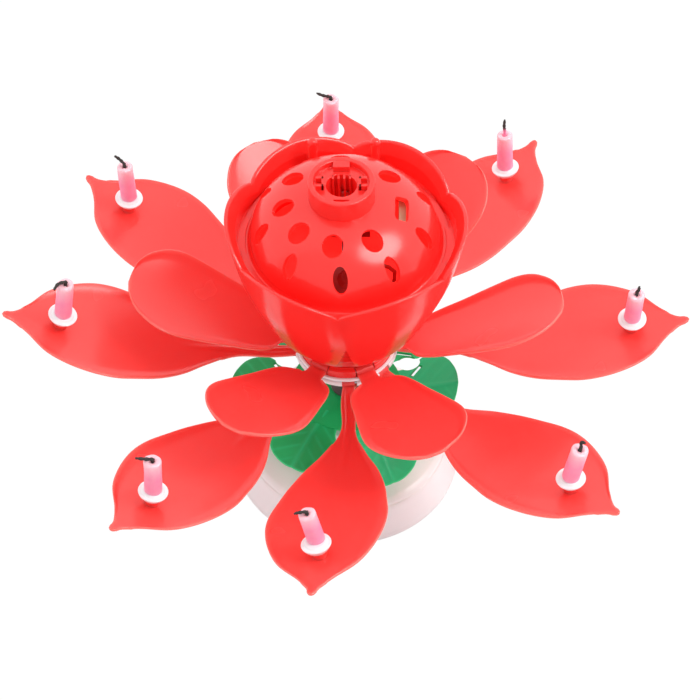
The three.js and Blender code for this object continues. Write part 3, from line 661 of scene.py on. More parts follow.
def make_finishes(colours):
    """Makes the two shared effects, and then each finish with its tints, gloss and scale."""
    flow_group()
    grain_group()
    moulded_plastic("petal_red", colours.petal_deep, colours.petal_light, 0.26, scale=45,
                    rim=colours.petal_rim, glows=True)
    cup_plastic()
    tray_plastic()
    leaf_plastic(colours)
    moulded_plastic("foot_white", colours.foot_white, (0.9, 0.87, 0.88), 0.3, scale=30)
    # Near-black stem: painted shade for the neck in the shadow of the flower
    moulded_plastic("stem_painted_shade", (0.05, 0.04, 0.038), (0.09, 0.07, 0.066), 0.35)
    # Also used on the brass sounder, where its dark red-brown is painted shade
    moulded_plastic("holder_dark", (0.07, 0.008, 0.006), (0.3, 0.02, 0.016), 0.25, scale=300)
    moulded_plastic("lead_red", (0.25, 0.02, 0.015), (0.35, 0.04, 0.03), 0.4)
    candle_wax(colours)
    charred_cotton(colours)
    board_paper()
    bare_metal("drawn_steel", (0.6, 0.6, 0.62), 0.28, 900.0)
    bare_metal("plated_can", (0.55, 0.55, 0.57), 0.35, 500.0)
    bare_metal("cell_nickel", (0.72, 0.72, 0.73), 0.18, 700.0)


# Sizes and colours that a user would change. Blender keeps the lengths in metres.

class LotusSizes(bpy.types.PropertyGroup):
    lobe_rise: bpy.props.FloatProperty(
        name="Rim lobe rise", description="How far the cup's rim lobes stand over its notches",
        default=5.6 * MM, unit="LENGTH")
    vent_radius: bpy.props.FloatProperty(
        name="Vent radius", description="Radius of the round holes in the dome",
        default=3 * MM, unit="LENGTH")
    leaf_ridge: bpy.props.FloatProperty(
        name="Leaf ridge", description="How far a green leaf falls from its midrib to its edges",
        default=1.6 * MM, unit="LENGTH")


class LotusColours(bpy.types.PropertyGroup):
    petal_deep: bpy.props.FloatVectorProperty(
        name="Petal, thick", description="Red where the plastic is thickest",
        default=(0.93, 0.052, 0.047), subtype="COLOR", min=0, max=1)
    petal_light: bpy.props.FloatVectorProperty(
        name="Petal, thin", description="Red where the plastic is thinnest",
        default=(0.95, 0.066, 0.059), subtype="COLOR", min=0, max=1)
    petal_rim: bpy.props.FloatVectorProperty(
        name="Petal rim", description="Paler red at a petal's edge",
        default=(0.95, 0.16, 0.13), subtype="COLOR", min=0, max=1)
    leaf_deep: bpy.props.FloatVectorProperty(
        name="Leaf, deep", description="Darkest green of the leaves",
        default=(0.004, 0.33, 0.075), subtype="COLOR", min=0, max=1)
    leaf_light: bpy.props.FloatVectorProperty(
        name="Leaf, light", description="Lightest green of the leaves",
        default=(0.008, 0.56, 0.16), subtype="COLOR", min=0, max=1)
    foot_white: bpy.props.FloatVectorProperty(
        name="Foot", description="White of the foot and the dishes",
        default=(0.84, 0.805, 0.825), subtype="COLOR", min=0, max=1)
    wax_pink: bpy.props.FloatVectorProperty(
        name="Candle wax", description="Pink of the small candles",
        default=(0.95, 0.26, 0.45), subtype="COLOR", min=0, max=1)


# Stage

CAMERA_TARGET = Vector((0.00118, 0, 0.052))
CAMERA_DISTANCE = 0.7612
CAMERA_ELEVATION = math.radians(50)
CAMERA_NEAR = 0.01
SENSOR_WIDTH = 36
CAMERA_LENS = 130.09
WHITE = (1, 1, 1, 1)
FLOOR_SIZE = 6
FLOOR_TINT = (0.85, 0.85, 0.85, 1)
FLOOR_BRIGHTNESS = 1.02
TENT_RADIUS = 2.5
TENT_FOOT = 0.02
TENT_FRONT_SHARE = 0.2
TENT_BRIGHTNESS = 1.25
SKY_BRIGHTNESS = 0.85


def lamp_at(name, place, size, power):
    """A round lamp that points at the flower."""
    light = bpy.data.lights.new(name, "AREA")
    light.shape = "DISK"
    light.size = size
    light.energy = power
    lamp = bpy.data.objects.new(name, light)
    lamp.location = place
    lamp.rotation_euler = (Vector(place) - CAMERA_TARGET).to_track_quat("Z", "Y").to_euler()
    bpy.context.scene.collection.objects.link(lamp)
    return lamp


def place_camera(scene):
    """A camera at the photograph's angle."""
    camera = bpy.data.objects.new("camera", bpy.data.cameras.new("camera"))
    scene.collection.objects.link(camera)
    back = Vector((0, -math.cos(CAMERA_ELEVATION), math.sin(CAMERA_ELEVATION)))
    camera.location = CAMERA_TARGET + back * CAMERA_DISTANCE
    camera.rotation_euler = back.to_track_quat("Z", "Y").to_euler()
    camera.data.sensor_width = SENSOR_WIDTH
    camera.data.lens = CAMERA_LENS
    camera.data.clip_start = CAMERA_NEAR
    scene.camera = camera


def lay_floor():
    """A pale floor that the camera sees as white paper."""
    bm = bmesh.new()
    bmesh.ops.create_grid(bm, x_segments=1, y_segments=1, size=FLOOR_SIZE / 2)
    floor = finished("floor", bm)
    tree, shader = new_finish("floor_white")
    fed(tree, shader, {"Base Color": FLOOR_TINT, "Roughness": 0.9, "Specular IOR Level": 0.0})
    light_path = node(tree, "ShaderNodeLightPath")
    glow = node(tree, "ShaderNodeEmission", {"Color": WHITE, "Strength": FLOOR_BRIGHTNESS})
    choice = node(tree, "ShaderNodeMixShader", {
        0: light_path.outputs["Is Camera Ray"], 1: shader.outputs[0], 2: glow.outputs[0]})
    tree.links.new(choice.outputs[0], tree.nodes["Material Output"].inputs["Surface"])
    coated(floor, "floor_white")


def pitch_tent():
    """A bright half dome over the floor, open at the front."""
    bm = bmesh.new()
    bmesh.ops.create_uvsphere(bm, u_segments=64, v_segments=32, radius=TENT_RADIUS)
    front = (0, -TENT_FRONT_SHARE * TENT_RADIUS, 0)
    for place, outward in ((front, (0, -1, 0)), ((0, 0, TENT_FOOT), (0, 0, -1))):
        bmesh.ops.bisect_plane(bm, geom=bm.verts[:] + bm.edges[:] + bm.faces[:], plane_co=place,
                               plane_no=outward, clear_outer=True)
    tent = finished("light_tent", bm)
    tree, shader = new_finish("tent_white")
    fed(tree, shader, {
        "Base Color": (0, 0, 0, 1), "Emission Color": WHITE, "Emission Strength": TENT_BRIGHTNESS})
    coated(tent, "tent_white")


class LotusStage(bpy.types.Operator):
    """Adds the pale floor, the soft lights and the camera"""
    bl_idname = "lotus.stage"
    bl_label = "Stage"

    def execute(self, context):
        scene = context.scene
        place_camera(scene)
        lay_floor()
        pitch_tent()
        world = bpy.data.worlds.new("studio")
        world.use_nodes = True
        sky = world.node_tree.nodes["Background"]
        fed(world.node_tree, sky, {"Color": WHITE, "Strength": SKY_BRIGHTNESS})
        scene.world = world
        lamp_at("right_box", (0.75, -0.12, 1.0), 0.42, 5.0).visible_glossy = False
        lamp_at("right_shine", (0.66, -0.19, 1.07), 0.85, 15.0).visible_diffuse = False
        scene.view_settings.view_transform = "Standard"
        return {"FINISHED"}


# Foot, stem, hub and leaves

FOOT_RADIUS = 35
FOOT_WALL = 1.8
PLATE_RADIUS = 33
PLATE_TOP = 1.9
NECK_RADIUS = 6.4
STEM_RADIUS = 3
STEM_SOCKET = 3.3
STEM_FOOT = 4.6
# A dark flange on the stem just over the leaves, a painted shadow in the gap under the petals
SHADE_FLANGE_OVER_WHORL = 0.6
SHADE_FLANGE_RADIUS = 4.6
SPINDLE_RADIUS = 1.2
SPINDLE_BORE = 1.5


class LotusStand(bpy.types.Operator):
    """Builds the round white foot"""
    bl_idname = "lotus.stand"
    bl_label = "Foot"

    def execute(self, context):
        top = heights(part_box("stand_shell"))[1]
        shoulder = [
            (FOOT_RADIUS - 0.6, 0, 0.5), (FOOT_RADIUS, 0.9, 0.8), (FOOT_RADIUS, 3, 1), (32.3, 10.5, 0.8),
            (31.6, 11.45, 0.3), (31.2, 11.55, 0.2), (30.8, 12.15, 0.4), (29.6, 13, 1.2), (25, 14.3, 3)]
        socket = [
            (9, 15.1, 2), (NECK_RADIUS, 16, 1), (NECK_RADIUS, top, 0.5), (STEM_SOCKET, top, 0.3),
            (STEM_SOCKET, STEM_FOOT, 0), (0.01, STEM_FOOT, 0), (0.01, 2.9, 0), (5, 2.9, 0), (5, 12.6, 1)]
        inside = [
            (25, 12.6, 2), (29.6, 9.4, 1), (FOOT_RADIUS - FOOT_WALL, 3, 1),
            (FOOT_RADIUS - FOOT_WALL, PLATE_TOP, 0), (PLATE_RADIUS, PLATE_TOP, 0), (PLATE_RADIUS, 0, 0.2)]
        foot = turned("foot_shell", shoulder + socket + inside, closed=True, sides=FOOT_SIDES)
        shade_by_angle(foot, 50)
        dressed(foot, "stand", "foot_white", "white", "stand_shell")
        refinished("foot_white", "stand_plate")
        return {"FINISHED"}


class LotusStem(bpy.types.Operator):
    """Builds the stem, near black as painted shade, with a dark flange over the leaves as painted shadow, and
    its spindle
    """
    bl_idname = "lotus.stem"
    bl_label = "Stem"

    def execute(self, context):
        bottom, top = heights(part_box("stem_post"))
        flange = WHORL_HEIGHT + SHADE_FLANGE_OVER_WHORL
        post = turned("stem_tube", [
            (SPINDLE_BORE, bottom + 2, 0), (SPINDLE_BORE, top, 0.1), (STEM_RADIUS, top, 0.3),
            (STEM_RADIUS, flange + 1.6, 0.5), (SHADE_FLANGE_RADIUS, flange + 0.7, 0.2), (SHADE_FLANGE_RADIUS, flange, 0.1),
            (STEM_RADIUS, flange, 0), (STEM_RADIUS, bottom, 0.2), (SPINDLE_BORE, bottom, 0)],
            closed=True, sides=SMALL_SIDES)
        shade_by_angle(post)
        dressed(post, "stand", "stem_painted_shade", "stem", "stem_post")
        bottom, top = heights(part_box("spindle"))
        pin = turned("spindle_pin", [
            (0, bottom, 0), (SPINDLE_RADIUS, bottom, 0.2), (SPINDLE_RADIUS, top, 0.3), (0, top, 0)],
            sides=SMALL_SIDES)
        shade_by_angle(pin)
        dressed(pin, "stand", "drawn_steel", "wire", "spindle")
        return {"FINISHED"}


LEAF_PHASE = -5
LEAF_ROOT = 11
LEAF_LENGTH = 22.8
LEAF_HALF_WIDTH = 11.2
LEAF_RADIUS = 0.45
LEAF_STATIONS = 60
MIDRIB_HEIGHT = 0.2
VEIN_HEIGHT = 0.1
VEIN_COUNT = 5
VEIN_SLANT = 1.6
VEIN_PALENESS = 0.35

# Each leaf's turn in degrees, its droop, its length and width as shares, and its paleness, which is painted
# light
LEAVES = (
    (2, -4, 1.02, 1.18, 0.6), (0, 3, 1, 1, 0.2), (0, 3, 1, 1, 0), (3, 1, 1.08, 1.08, 0),
    (5, 4, 0.96, 0.97, 0), (0, 8.5, 1, 0.97, 0.5),
)

# The first leaves have slots and rounded openings at their roots, and the two at the front have none
SLOTTED_LEAVES = 4
WHORL_HEIGHT = 34.6
WHORL_DISC = 17
WHORL_BORE = 3.3
WHORL_SLEEVE = 5
LEAF_SLOT_ALONG = 21.2
LEAF_SLOT_SIDE = 6.8
LEAF_SLOT_SLANT = 32
LEAF_SLOT_WIDTH = 1.1
LEAF_SLOT_LENGTH = 5
LEAF_GAP_ALONG = 21.4
LEAF_GAP_RADIUS = 3.3
LEAF_GAP_TURN = 29
LEAF_GAP_STRETCH = 1.1
LEAF_CUT_DEPTH = 12


def leaf_height(along, across, droop, ridge):
    """The middle of a leaf's thickness at a place on it."""
    share = (along - LEAF_ROOT) / LEAF_LENGTH
    side = abs(across) / LEAF_HALF_WIDTH
    raised = VEIN_HEIGHT * side_veins(share, side) + MIDRIB_HEIGHT * math.exp(-(across / 0.7) ** 2)
    return WHORL_HEIGHT - droop * share * share - ridge * share * side + raised


def side_veins(share, side):
    """How near a place on a leaf is to one of its side veins, from 0 to 1."""
    wave = math.cos(2 * math.pi * (share * VEIN_COUNT - side * VEIN_SLANT))
    return max(0, wave) ** 4 * smoothstep(side, 0.02, 0.2)


def leaf_slot(side):
    """A slanting slot near a leaf's root, on one side of its midrib."""
    place = moved(LEAF_SLOT_ALONG, side * LEAF_SLOT_SIDE, WHORL_HEIGHT)
    place = place @ rotated(-side * LEAF_SLOT_SLANT, "Z")
    return box_at(place, LEAF_SLOT_WIDTH, LEAF_SLOT_LENGTH, LEAF_CUT_DEPTH)


def leaf_gap(side):
    """The rounded opening between a leaf's root and its neighbour's."""
    place = rotated(side * LEAF_GAP_TURN, "Z") @ moved(LEAF_GAP_ALONG, 0, WHORL_HEIGHT)
    return rod_at(place, LEAF_GAP_RADIUS, LEAF_CUT_DEPTH, LEAF_GAP_STRETCH)


def one_leaf(name, droop, length_share, width_share, painted_light_share, ridge, slotted):
    """A leaf along X, with its veins paler than the rest and the whole leaf made paler by its share of
    painted light.
    """
    stations = outline_stations(LEAF_OUTLINE_SHARES, LEAF_LENGTH * length_share,
                                LEAF_HALF_WIDTH * width_share, LEAF_STATIONS, LEAF_RADIUS)
    from_root = [(along + LEAF_ROOT, width) for along, width in stations]
    leaf = sheet(name, from_root, LEAF_RADIUS, lambda x, y, w: leaf_height(x, y, droop, ridge), inner=16)

    # Paleness of each point: the veins, over the whole leaf's share of painted light
    def vein_and_painted_light_at(co):
        share = (co.x - LEAF_ROOT) / LEAF_LENGTH
        midrib = math.exp(-(co.y / 0.6) ** 2)
        vein = VEIN_PALENESS * max(midrib, 0.7 * side_veins(share, abs(co.y) / LEAF_HALF_WIDTH))
        return painted_light_share + vein * (1 - painted_light_share)
    float_layer(leaf, "vein", vein_and_painted_light_at)
    if slotted:
        carved(leaf, [leaf_slot(1), leaf_slot(-1), leaf_gap(1), leaf_gap(-1)])
    return leaf


class LotusLeaves(bpy.types.Operator):
    """Builds the whorl of six green leaves"""
    bl_idname = "lotus.leaves"
    bl_label = "Leaves"

    def execute(self, context):
        ridge = context.scene.lotus_sizes.leaf_ridge / MM
        top = WHORL_HEIGHT + 0.55
        pieces = [turned("whorl_disc", [
            (WHORL_BORE, top - 7, 0), (WHORL_SLEEVE, top - 7, 0.3), (WHORL_SLEEVE, top - 1.1, 0.5),
            (WHORL_DISC, top - 1.1, 0.3), (WHORL_DISC, top, 0.3), (WHORL_BORE, top, 0.2)], closed=True)]
        for i, (turn, droop, length_share, width_share, painted_light_share) in enumerate(LEAVES):
            leaf = one_leaf(f"leaf_{i}", droop, length_share, width_share, painted_light_share, ridge, i < SLOTTED_LEAVES)
            leaf.matrix_world = rotated(LEAF_PHASE + 60 * i + turn, "Z")
            pieces.append(leaf)
        whorl = joined("green_leaves", pieces)
        shade_by_angle(whorl, 50)
        dressed(whorl, "stand", "leaf_green", "green", "leaf_whorl")
        return {"FINISHED"}


HUB_BORE = 2
HUB_RADIUS = 15.4
HUB_BOTTOM = 51
HUB_TOP = 54.7
LIP_RADIUS = 14.9
LIP_BOTTOM = 54.9
LIP_TOP = 55.9
LIP_WIDTH = 0.7
NOTCH_DEPTH = 10
NOTCH_GAP = 0.5
OUTER_BARREL = SimpleNamespace(ring=13.5, height=52.85, width=4.5, rise=6, phase=4, count=8)
INNER_BARREL = SimpleNamespace(ring=12.7, height=56.95, width=6.1, rise=4.5, phase=-5.4, count=6)


def barrel_notches(barrel):
    """The boxes that the petals' barrels swing in, round a ring."""
    middle = barrel.ring - BARREL_RADIUS - NOTCH_GAP + NOTCH_DEPTH / 2
    cutters = []
    for i in range(barrel.count):
        place = rotated(barrel.phase + 360 / barrel.count * i, "Z") @ moved(middle, 0, barrel.height)
        cutters.append(box_at(place, NOTCH_DEPTH, barrel.width, barrel.rise))
    return cutters


class LotusHub(bpy.types.Operator):
    """Builds the white hub ring and finishes the wires"""
    bl_idname = "lotus.hub"
    bl_label = "Hub"

    def execute(self, context):
        ring = turned("hub_band", [
            (HUB_BORE, HUB_BOTTOM, 0), (11.4, HUB_BOTTOM, 0.3), (13, HUB_TOP - 1.6, 0.3),
            (HUB_RADIUS, HUB_TOP - 1.4, 0.3), (HUB_RADIUS, HUB_TOP, 0.3), (HUB_BORE, HUB_TOP, 0)],
            closed=True)
        carved(ring, barrel_notches(OUTER_BARREL))
        lip = turned("hub_lip", [
            (LIP_RADIUS - LIP_WIDTH, LIP_BOTTOM, 0.1), (LIP_RADIUS, LIP_BOTTOM, 0.2),
            (LIP_RADIUS, LIP_TOP, 0.2), (LIP_RADIUS - LIP_WIDTH, LIP_TOP, 0.1)], closed=True)
        ring = joined("hub_band", [ring, lip])
        shade_by_angle(ring)
        dressed(ring, "flower", "foot_white", "white", "hub_ring")
        refinished("drawn_steel", "outer_hinge_wire", "inner_hinge_wire", "trigger_contact")
        return {"FINISHED"}


# Cup, dome and drive

LOBE_PHASE = math.radians(-4)
LOBE_BULGE = 0.9
NOTCH_SHARE = 0.2
RIB_DEPTH = 0.5
HEEL_BORE = 2
HEEL_RADIUS = 14.1
HEEL_BOTTOM = 55
HEEL_TOP = 58.7
HEEL_REACH = 20
CUP_FLOOR = HEEL_TOP + 2
RIM_HEIGHT = 104.3
LOBE_FOOT = RIM_HEIGHT - 10.3
WINDOW_FOOT = 5.2
WINDOW_WIDTH = 8.2
WINDOW_HEIGHT = 22
WINDOW_DEPTH = 0.8
WINDOW_STEPS = 12
TRAY_SEAT = 90.4
FLANGE_SEAT = 99.4
SEAT_BORE = 28.3

# Radius and rise above the heel of the cup's outer wall
CUP_WALL = ((12, 0), (16.3, 4.6), (20.2, 9.6), (23.6, 15), (27.8, 24.6), (31.3, 34.7), (33.7, 45.6))


def lobe_share(azimuth):
    """How far up a place on the rim stands, up to 1 on a lobe. The notches are shallower at the back."""
    notch = NOTCH_SHARE * (1 + math.sin(azimuth)) / 2
    return notch + (1 - notch) * abs(math.cos(3 * (azimuth - LOBE_PHASE))) ** 0.7


def lobed(rise):
    """Moves the cup's rim into petal-shaped lobes, and its wall outside the heel into soft ribs."""
    def shape(azimuth, radius, height):
        fade = max(0, (height - LOBE_FOOT) / (RIM_HEIGHT - LOBE_FOOT))
        lobe = min(1, fade) ** 1.5 * lobe_share(azimuth)
        rib = smoothstep(height, HEEL_TOP, RIM_HEIGHT) * RIB_DEPTH * (lobe_share(azimuth) - 0.8)
        if radius < HEEL_REACH:
            rib = 0
        return radius + rib + lobe * LOBE_BULGE, height + lobe * rise
    return shape


def wall_radius(wall, height):
    """The radius of the first point of the cup's wall at or over a height."""
    return next(point.x for point in wall if point.y >= height)


def window_cutter(wall):
    """A triangle sunk into the front of the cup's wall, which wall traces."""
    bm = bmesh.new()
    rows = []
    for step in range(WINDOW_STEPS + 1):
        share = step / WINDOW_STEPS
        height = HEEL_TOP + WINDOW_FOOT + WINDOW_HEIGHT * share
        half = max(0.05, WINDOW_WIDTH / 2 * (1 - share))
        outside = wall_radius(wall, height)
        corners = ((-half, WINDOW_DEPTH - outside), (half, WINDOW_DEPTH - outside),
                   (half, -2 * outside), (-half, -2 * outside))
        rows.append([new_point(bm, x, y, height) for x, y in corners])
    tube_faces(bm, rows)
    bmesh.ops.triangulate(bm, faces=bm.faces)
    return finished("window_cutter", bm, smooth=False)


def window_shade_mask(co, wall):
    """1 on the floor of the window's recess, where the dark red painted shade goes, and 0 elsewhere."""
    rise = co.z - HEEL_TOP
    if co.y > 0 or abs(co.x) > 0.52 * WINDOW_WIDTH:
        return 0.0
    if not -0.1 < rise - WINDOW_FOOT < WINDOW_HEIGHT - 0.1:
        return 0.0
    depth = wall_radius(wall, co.z) + co.y
    return 1.0 if 0.5 * WINDOW_DEPTH < depth < 1.2 * WINDOW_DEPTH else 0.0


class LotusCup(bpy.types.Operator):
    """Builds the lobed red cup"""
    bl_idname = "lotus.cup"
    bl_label = "Cup"

    def execute(self, context):
        rise = context.scene.lotus_sizes.lobe_rise / MM
        outer = curve_through([(r, HEEL_TOP + z, 0) for r, z in CUP_WALL], 40)
        heel = [
            (HEEL_BORE, HEEL_BOTTOM, 0.2), (HEEL_RADIUS, HEEL_BOTTOM, 0.3),
            (HEEL_RADIUS, HEEL_TOP - 0.5, 0.3), (12.6, HEEL_TOP, 0.1)]
        rim = [
            (33.75, RIM_HEIGHT, 0.45), (32.7, RIM_HEIGHT, 0.45), (30.8, RIM_HEIGHT - 2.1, 0.3),
            (30.63, FLANGE_SEAT, 0), (SEAT_BORE, FLANGE_SEAT, 0.2)]
        inside = [
            (SEAT_BORE, TRAY_SEAT, 0), (26.3, TRAY_SEAT, 0.3), (27.9, TRAY_SEAT - 4, 1),
            (22.4, HEEL_TOP + 15, 1), (15.1, HEEL_TOP + 4.6, 1), (12.9, CUP_FLOOR, 0.5),
            (HEEL_BORE, CUP_FLOOR, 0)]
        profile = heel + [(p.x, p.y, 0) for p in outer[1:-1]] + rim + inside
        cup = turned("red_cup", profile, closed=True, sides=CUP_SIDES, shape=lobed(rise))
        carved(cup, [window_cutter(outer), *barrel_notches(INNER_BARREL)])
        # The edge layer marks the window's recess floor for its painted shade
        float_layer(cup, "edge", lambda co: window_shade_mask(co, outer))
        shade_by_angle(cup, 40)
        dressed(cup, "flower", "cup_red_painted_shade_and_glow", "red", "cup")
        return {"FINISHED"}


FLANGE_TOP = 101
FLANGE_RADIUS = 30.3
DOME_RADIUS = 27.2
DOME_RISE = 18.4
DOME_WALL = 1.4
DOME_FULLNESS = 2.4
DOME_LEAN = 1.25
DOME_BACK = 26
COLLAR_RADIUS = 9.45
COLLAR_BORE = COLLAR_RADIUS - 1.6
COLLAR_TOP = 125.4
SOCKET_FLOOR = 123.5
SOCKET_WALL = 1.3
SLEEVE_BOTTOM = 113.2
SLEEVE_BORE = 4.3
SLEEVE_RADIUS = 5.3

# The dome's holes: a ring of round ones, a ring of ovals and the slot over the board, with turns in degrees
VENT_AZIMUTHS = (-99, -60, 37, 92, 147, 187, 224)
VENT_RING = 16.9
VENT_STRETCH = 1.17
OVAL_COUNT = 10
OVAL_PHASE = -92
OVAL_RING = 24.5
OVAL_RADIUS = 2.1
OVAL_STRETCH = 1.9
VENT_DEPTH = 7
SLOT_PLACE = Vector((16.8, -2.4))
SLOT_TILT = 32
SLOT_WIDTH = 4.1
SLOT_LENGTH = 8.4
SLOT_ROUNDING = 0.2

# Boxes of the socket: a place, with its rise over the socket's floor, and a size
SOCKET_NOTCH = ((0, -6.1, 0), (4.4, 1.3, 3.3))
SOCKET_BLOCK = ((0, 6.7, 0.7), (4.6, 2.6, 2.2))
SOCKET_CLIPS = (
    ((5.1, 0, 0.8), (0.8, 3.8, 1.8)), ((6.1, 1.5, 0.8), (2.2, 0.8, 1.8)), ((6.1, -1.5, 0.8), (2.2, 0.8, 1.8)),
)
SLEEVE_LENGTH = SOCKET_FLOOR - SLEEVE_BOTTOM
SLEEVE_RIBS = tuple(
    ((x, 3.3, -SLEEVE_LENGTH / 2), (0.6, 1.4, SLEEVE_LENGTH)) for x in (0.8, 2.4))

# The posts behind the collar
POST_RADIUS = 1.5
POST_TIP = 0.9
POST_HEIGHT = 13.5
POST_SIDE = 9.1
POST_SHIFT = -0.6
POST_BACK = 27.4


def dome_height(radius, reach=DOME_RADIUS, rise=DOME_RISE):
    """The dome's surface at a distance from its axis."""
    return FLANGE_TOP + rise * max(0, 1 - (radius / reach) ** DOME_FULLNESS) ** (1 / DOME_FULLNESS)


def dome_arc(reach, rise, inner_radius, steps):
    """The dome's line from its foot up to an inner radius."""
    points = []
    for step in range(steps + 1):
        radius = max(reach * math.cos(math.pi / 2 * step / steps) ** 0.85, inner_radius)
        points.append((radius, dome_height(radius, reach, rise), 0))
        if radius == inner_radius:
            break
    return points


def vent_cutter(ring, radius, stretch, azimuth):
    """A rod that stands square to the dome's surface."""
    height = dome_height(ring)
    step = 0.01
    slope = (dome_height(ring + step) - height) / step
    place = rotated(azimuth, "Z") @ moved(ring, 0, height) @ Matrix.Rotation(math.atan(-slope), 4, "Y")
    return rod_at(place, radius, VENT_DEPTH, stretch)


def slot_cutter():
    """A rounded box over the sound board, which shows through the dome."""
    place = moved(*SLOT_PLACE, dome_height(SLOT_PLACE.length)) @ rotated(SLOT_TILT, "Y")
    cutter = box_at(place, SLOT_WIDTH, SLOT_LENGTH, VENT_DEPTH)
    bevel = cutter.modifiers.new("bevel", "BEVEL")
    bevel.width = SLOT_ROUNDING
    bevel.segments = 5
    settle(cutter)
    return cutter


def painted_glow_inside_dome(co):
    """1 on the dome's inner face, clear of the socket, where the painted glow goes, and 0 elsewhere."""
    radius = math.hypot(co.x, co.y)
    if not SLEEVE_RADIUS + 0.3 < radius < DOME_RADIUS - 0.7 * DOME_WALL:
        return 0.0
    return 1.0 if co.z < dome_height(max(radius, COLLAR_RADIUS)) - 0.8 * DOME_WALL else 0.0


def dome_shell():
    """The dome with its flange, the collar on top and the sleeve that hangs in it, without holes."""
    flange = [
        (DOME_RADIUS - DOME_WALL, FLANGE_TOP - 1.3, 0), (FLANGE_RADIUS, FLANGE_TOP - 1.3, 0.2),
        (FLANGE_RADIUS, FLANGE_TOP + 0.3, 0.3), (DOME_RADIUS + 0.8, FLANGE_TOP, 0.4)]
    socket = [
        (COLLAR_RADIUS, COLLAR_TOP, 0.4), (COLLAR_BORE, COLLAR_TOP, 0.4), (COLLAR_BORE, SOCKET_FLOOR, 0.2),
        (SLEEVE_RADIUS, SOCKET_FLOOR, 0), (SLEEVE_BORE, SOCKET_FLOOR, 0.2), (SLEEVE_BORE, SLEEVE_BOTTOM, 0.2),
        (SLEEVE_RADIUS, SLEEVE_BOTTOM, 0.2), (SLEEVE_RADIUS, SOCKET_FLOOR - SOCKET_WALL, 0.3),
        (COLLAR_BORE, SOCKET_FLOOR - SOCKET_WALL, 0.3)]
    outer = dome_arc(DOME_RADIUS, DOME_RISE, COLLAR_RADIUS, 48)
    inner = dome_arc(DOME_RADIUS - DOME_WALL, DOME_RISE - DOME_WALL, COLLAR_BORE, 40)
    profile = flange + outer[1:] + socket + inner[::-1]
    return turned("red_dome", profile, closed=True, sides=CUP_SIDES)


def socket_box(place, size, side=1):
    """A box in the socket, mirrored where side is -1."""
    x, y, rise = place
    return box_at(moved(side * x, y, SOCKET_FLOOR + rise), *size)


def socket_pieces():
    """The block at the socket's back, and at each side its clips, the sleeve's ribs and a post behind it."""
    pieces = [socket_box(*SOCKET_BLOCK)]
    for side in (1, -1):
        pieces += [socket_box(place, size, side) for place, size in SOCKET_CLIPS + SLEEVE_RIBS]
        post = turned("post", [
            (0, 0, 0), (POST_RADIUS, 0, 0), (POST_RADIUS, POST_HEIGHT - 1, 0.4), (POST_TIP, POST_HEIGHT, 0.5),
            (0, POST_HEIGHT, 0)], sides=SMALL_SIDES)
        post.matrix_world = moved(side * POST_SIDE + POST_SHIFT, POST_BACK, FLANGE_TOP - 0.5)
        pieces.append(post)
    return pieces


class LotusDome(bpy.types.Operator):
    """Builds the pierced dome with its socket"""
    bl_idname = "lotus.dome"
    bl_label = "Dome"

    def execute(self, context):
        vent = context.scene.lotus_sizes.vent_radius / MM
        dome = dome_shell()
        cutters = [vent_cutter(VENT_RING, vent, VENT_STRETCH, azimuth) for azimuth in VENT_AZIMUTHS]
        for i in range(OVAL_COUNT):
            azimuth = OVAL_PHASE + 360 / OVAL_COUNT * i
            cutters.append(vent_cutter(OVAL_RING, OVAL_RADIUS, OVAL_STRETCH, azimuth))
        carved(dome, [*cutters, slot_cutter(), socket_box(*SOCKET_NOTCH)])
        dome = joined("pierced_dome", [dome, *socket_pieces()])
        # Marks the dome's inner face for its painted glow
        float_layer(dome, "inside", painted_glow_inside_dome)
        for vert in dome.data.vertices:
            if vert.co.y < DOME_BACK * MM:
                vert.co.x -= DOME_LEAN * MM * smoothstep(vert.co.z / MM, FLANGE_TOP - 6, COLLAR_TOP)
        shade_by_angle(dome)
        dressed(dome, "flower", "cup_red_painted_shade_and_glow", "red", "dome_cap")
        return {"FINISHED"}


class LotusDrive(bpy.types.Operator):
    """Finishes the motor, the board and what stands on it"""
    bl_idname = "lotus.drive"
    bl_label = "Drive"

    def execute(self, context):
        refinished("plated_can", "spin_motor")
        # The tray's finish carries a painted glow
        refinished("tray_red_painted_glow", "board_tray")
        refinished("board_tan", "sound_board")
        # The sounder, a brass disc, takes the dark red-brown holder finish as painted shade for how dim it is
        # inside the dome
        refinished("holder_dark", "battery_holder", "sounder")
        refinished("cell_nickel", "button_cell_1", "button_cell_2")
        refinished("lead_red", "lead_wire")
        return {"FINISHED"}


# Petals

def petal_matrix(shape, i):
    """Where a petal rests on its hinge."""
    place = Vector(JOINTS[f"{shape.kind}_petal_{i + 1}_hinge"]["pos_m"])
    azimuth = math.degrees(math.atan2(place.y, place.x))
    return (Matrix.Translation(place) @ rotated(azimuth, "Z") @ rotated(-shape.tilts[i], "Y")
            @ rotated(shape.yaws[i], "Z") @ rotated(shape.rolls[i], "X"))


def spine_heights(shape):
    """The height of a petal's spine at even places along it."""
    curve = curve_through([(a, b, 0) for a, b in shape.spine], 3 * SPINE_STEPS)
    spine = []
    k = 1
    for step in range(SPINE_STEPS + 1):
        place = step / SPINE_STEPS
        while k < len(curve) - 1 and curve[k].x < place:
            k += 1
        spine.append(-shape.sag * curve[k].y)
    return spine


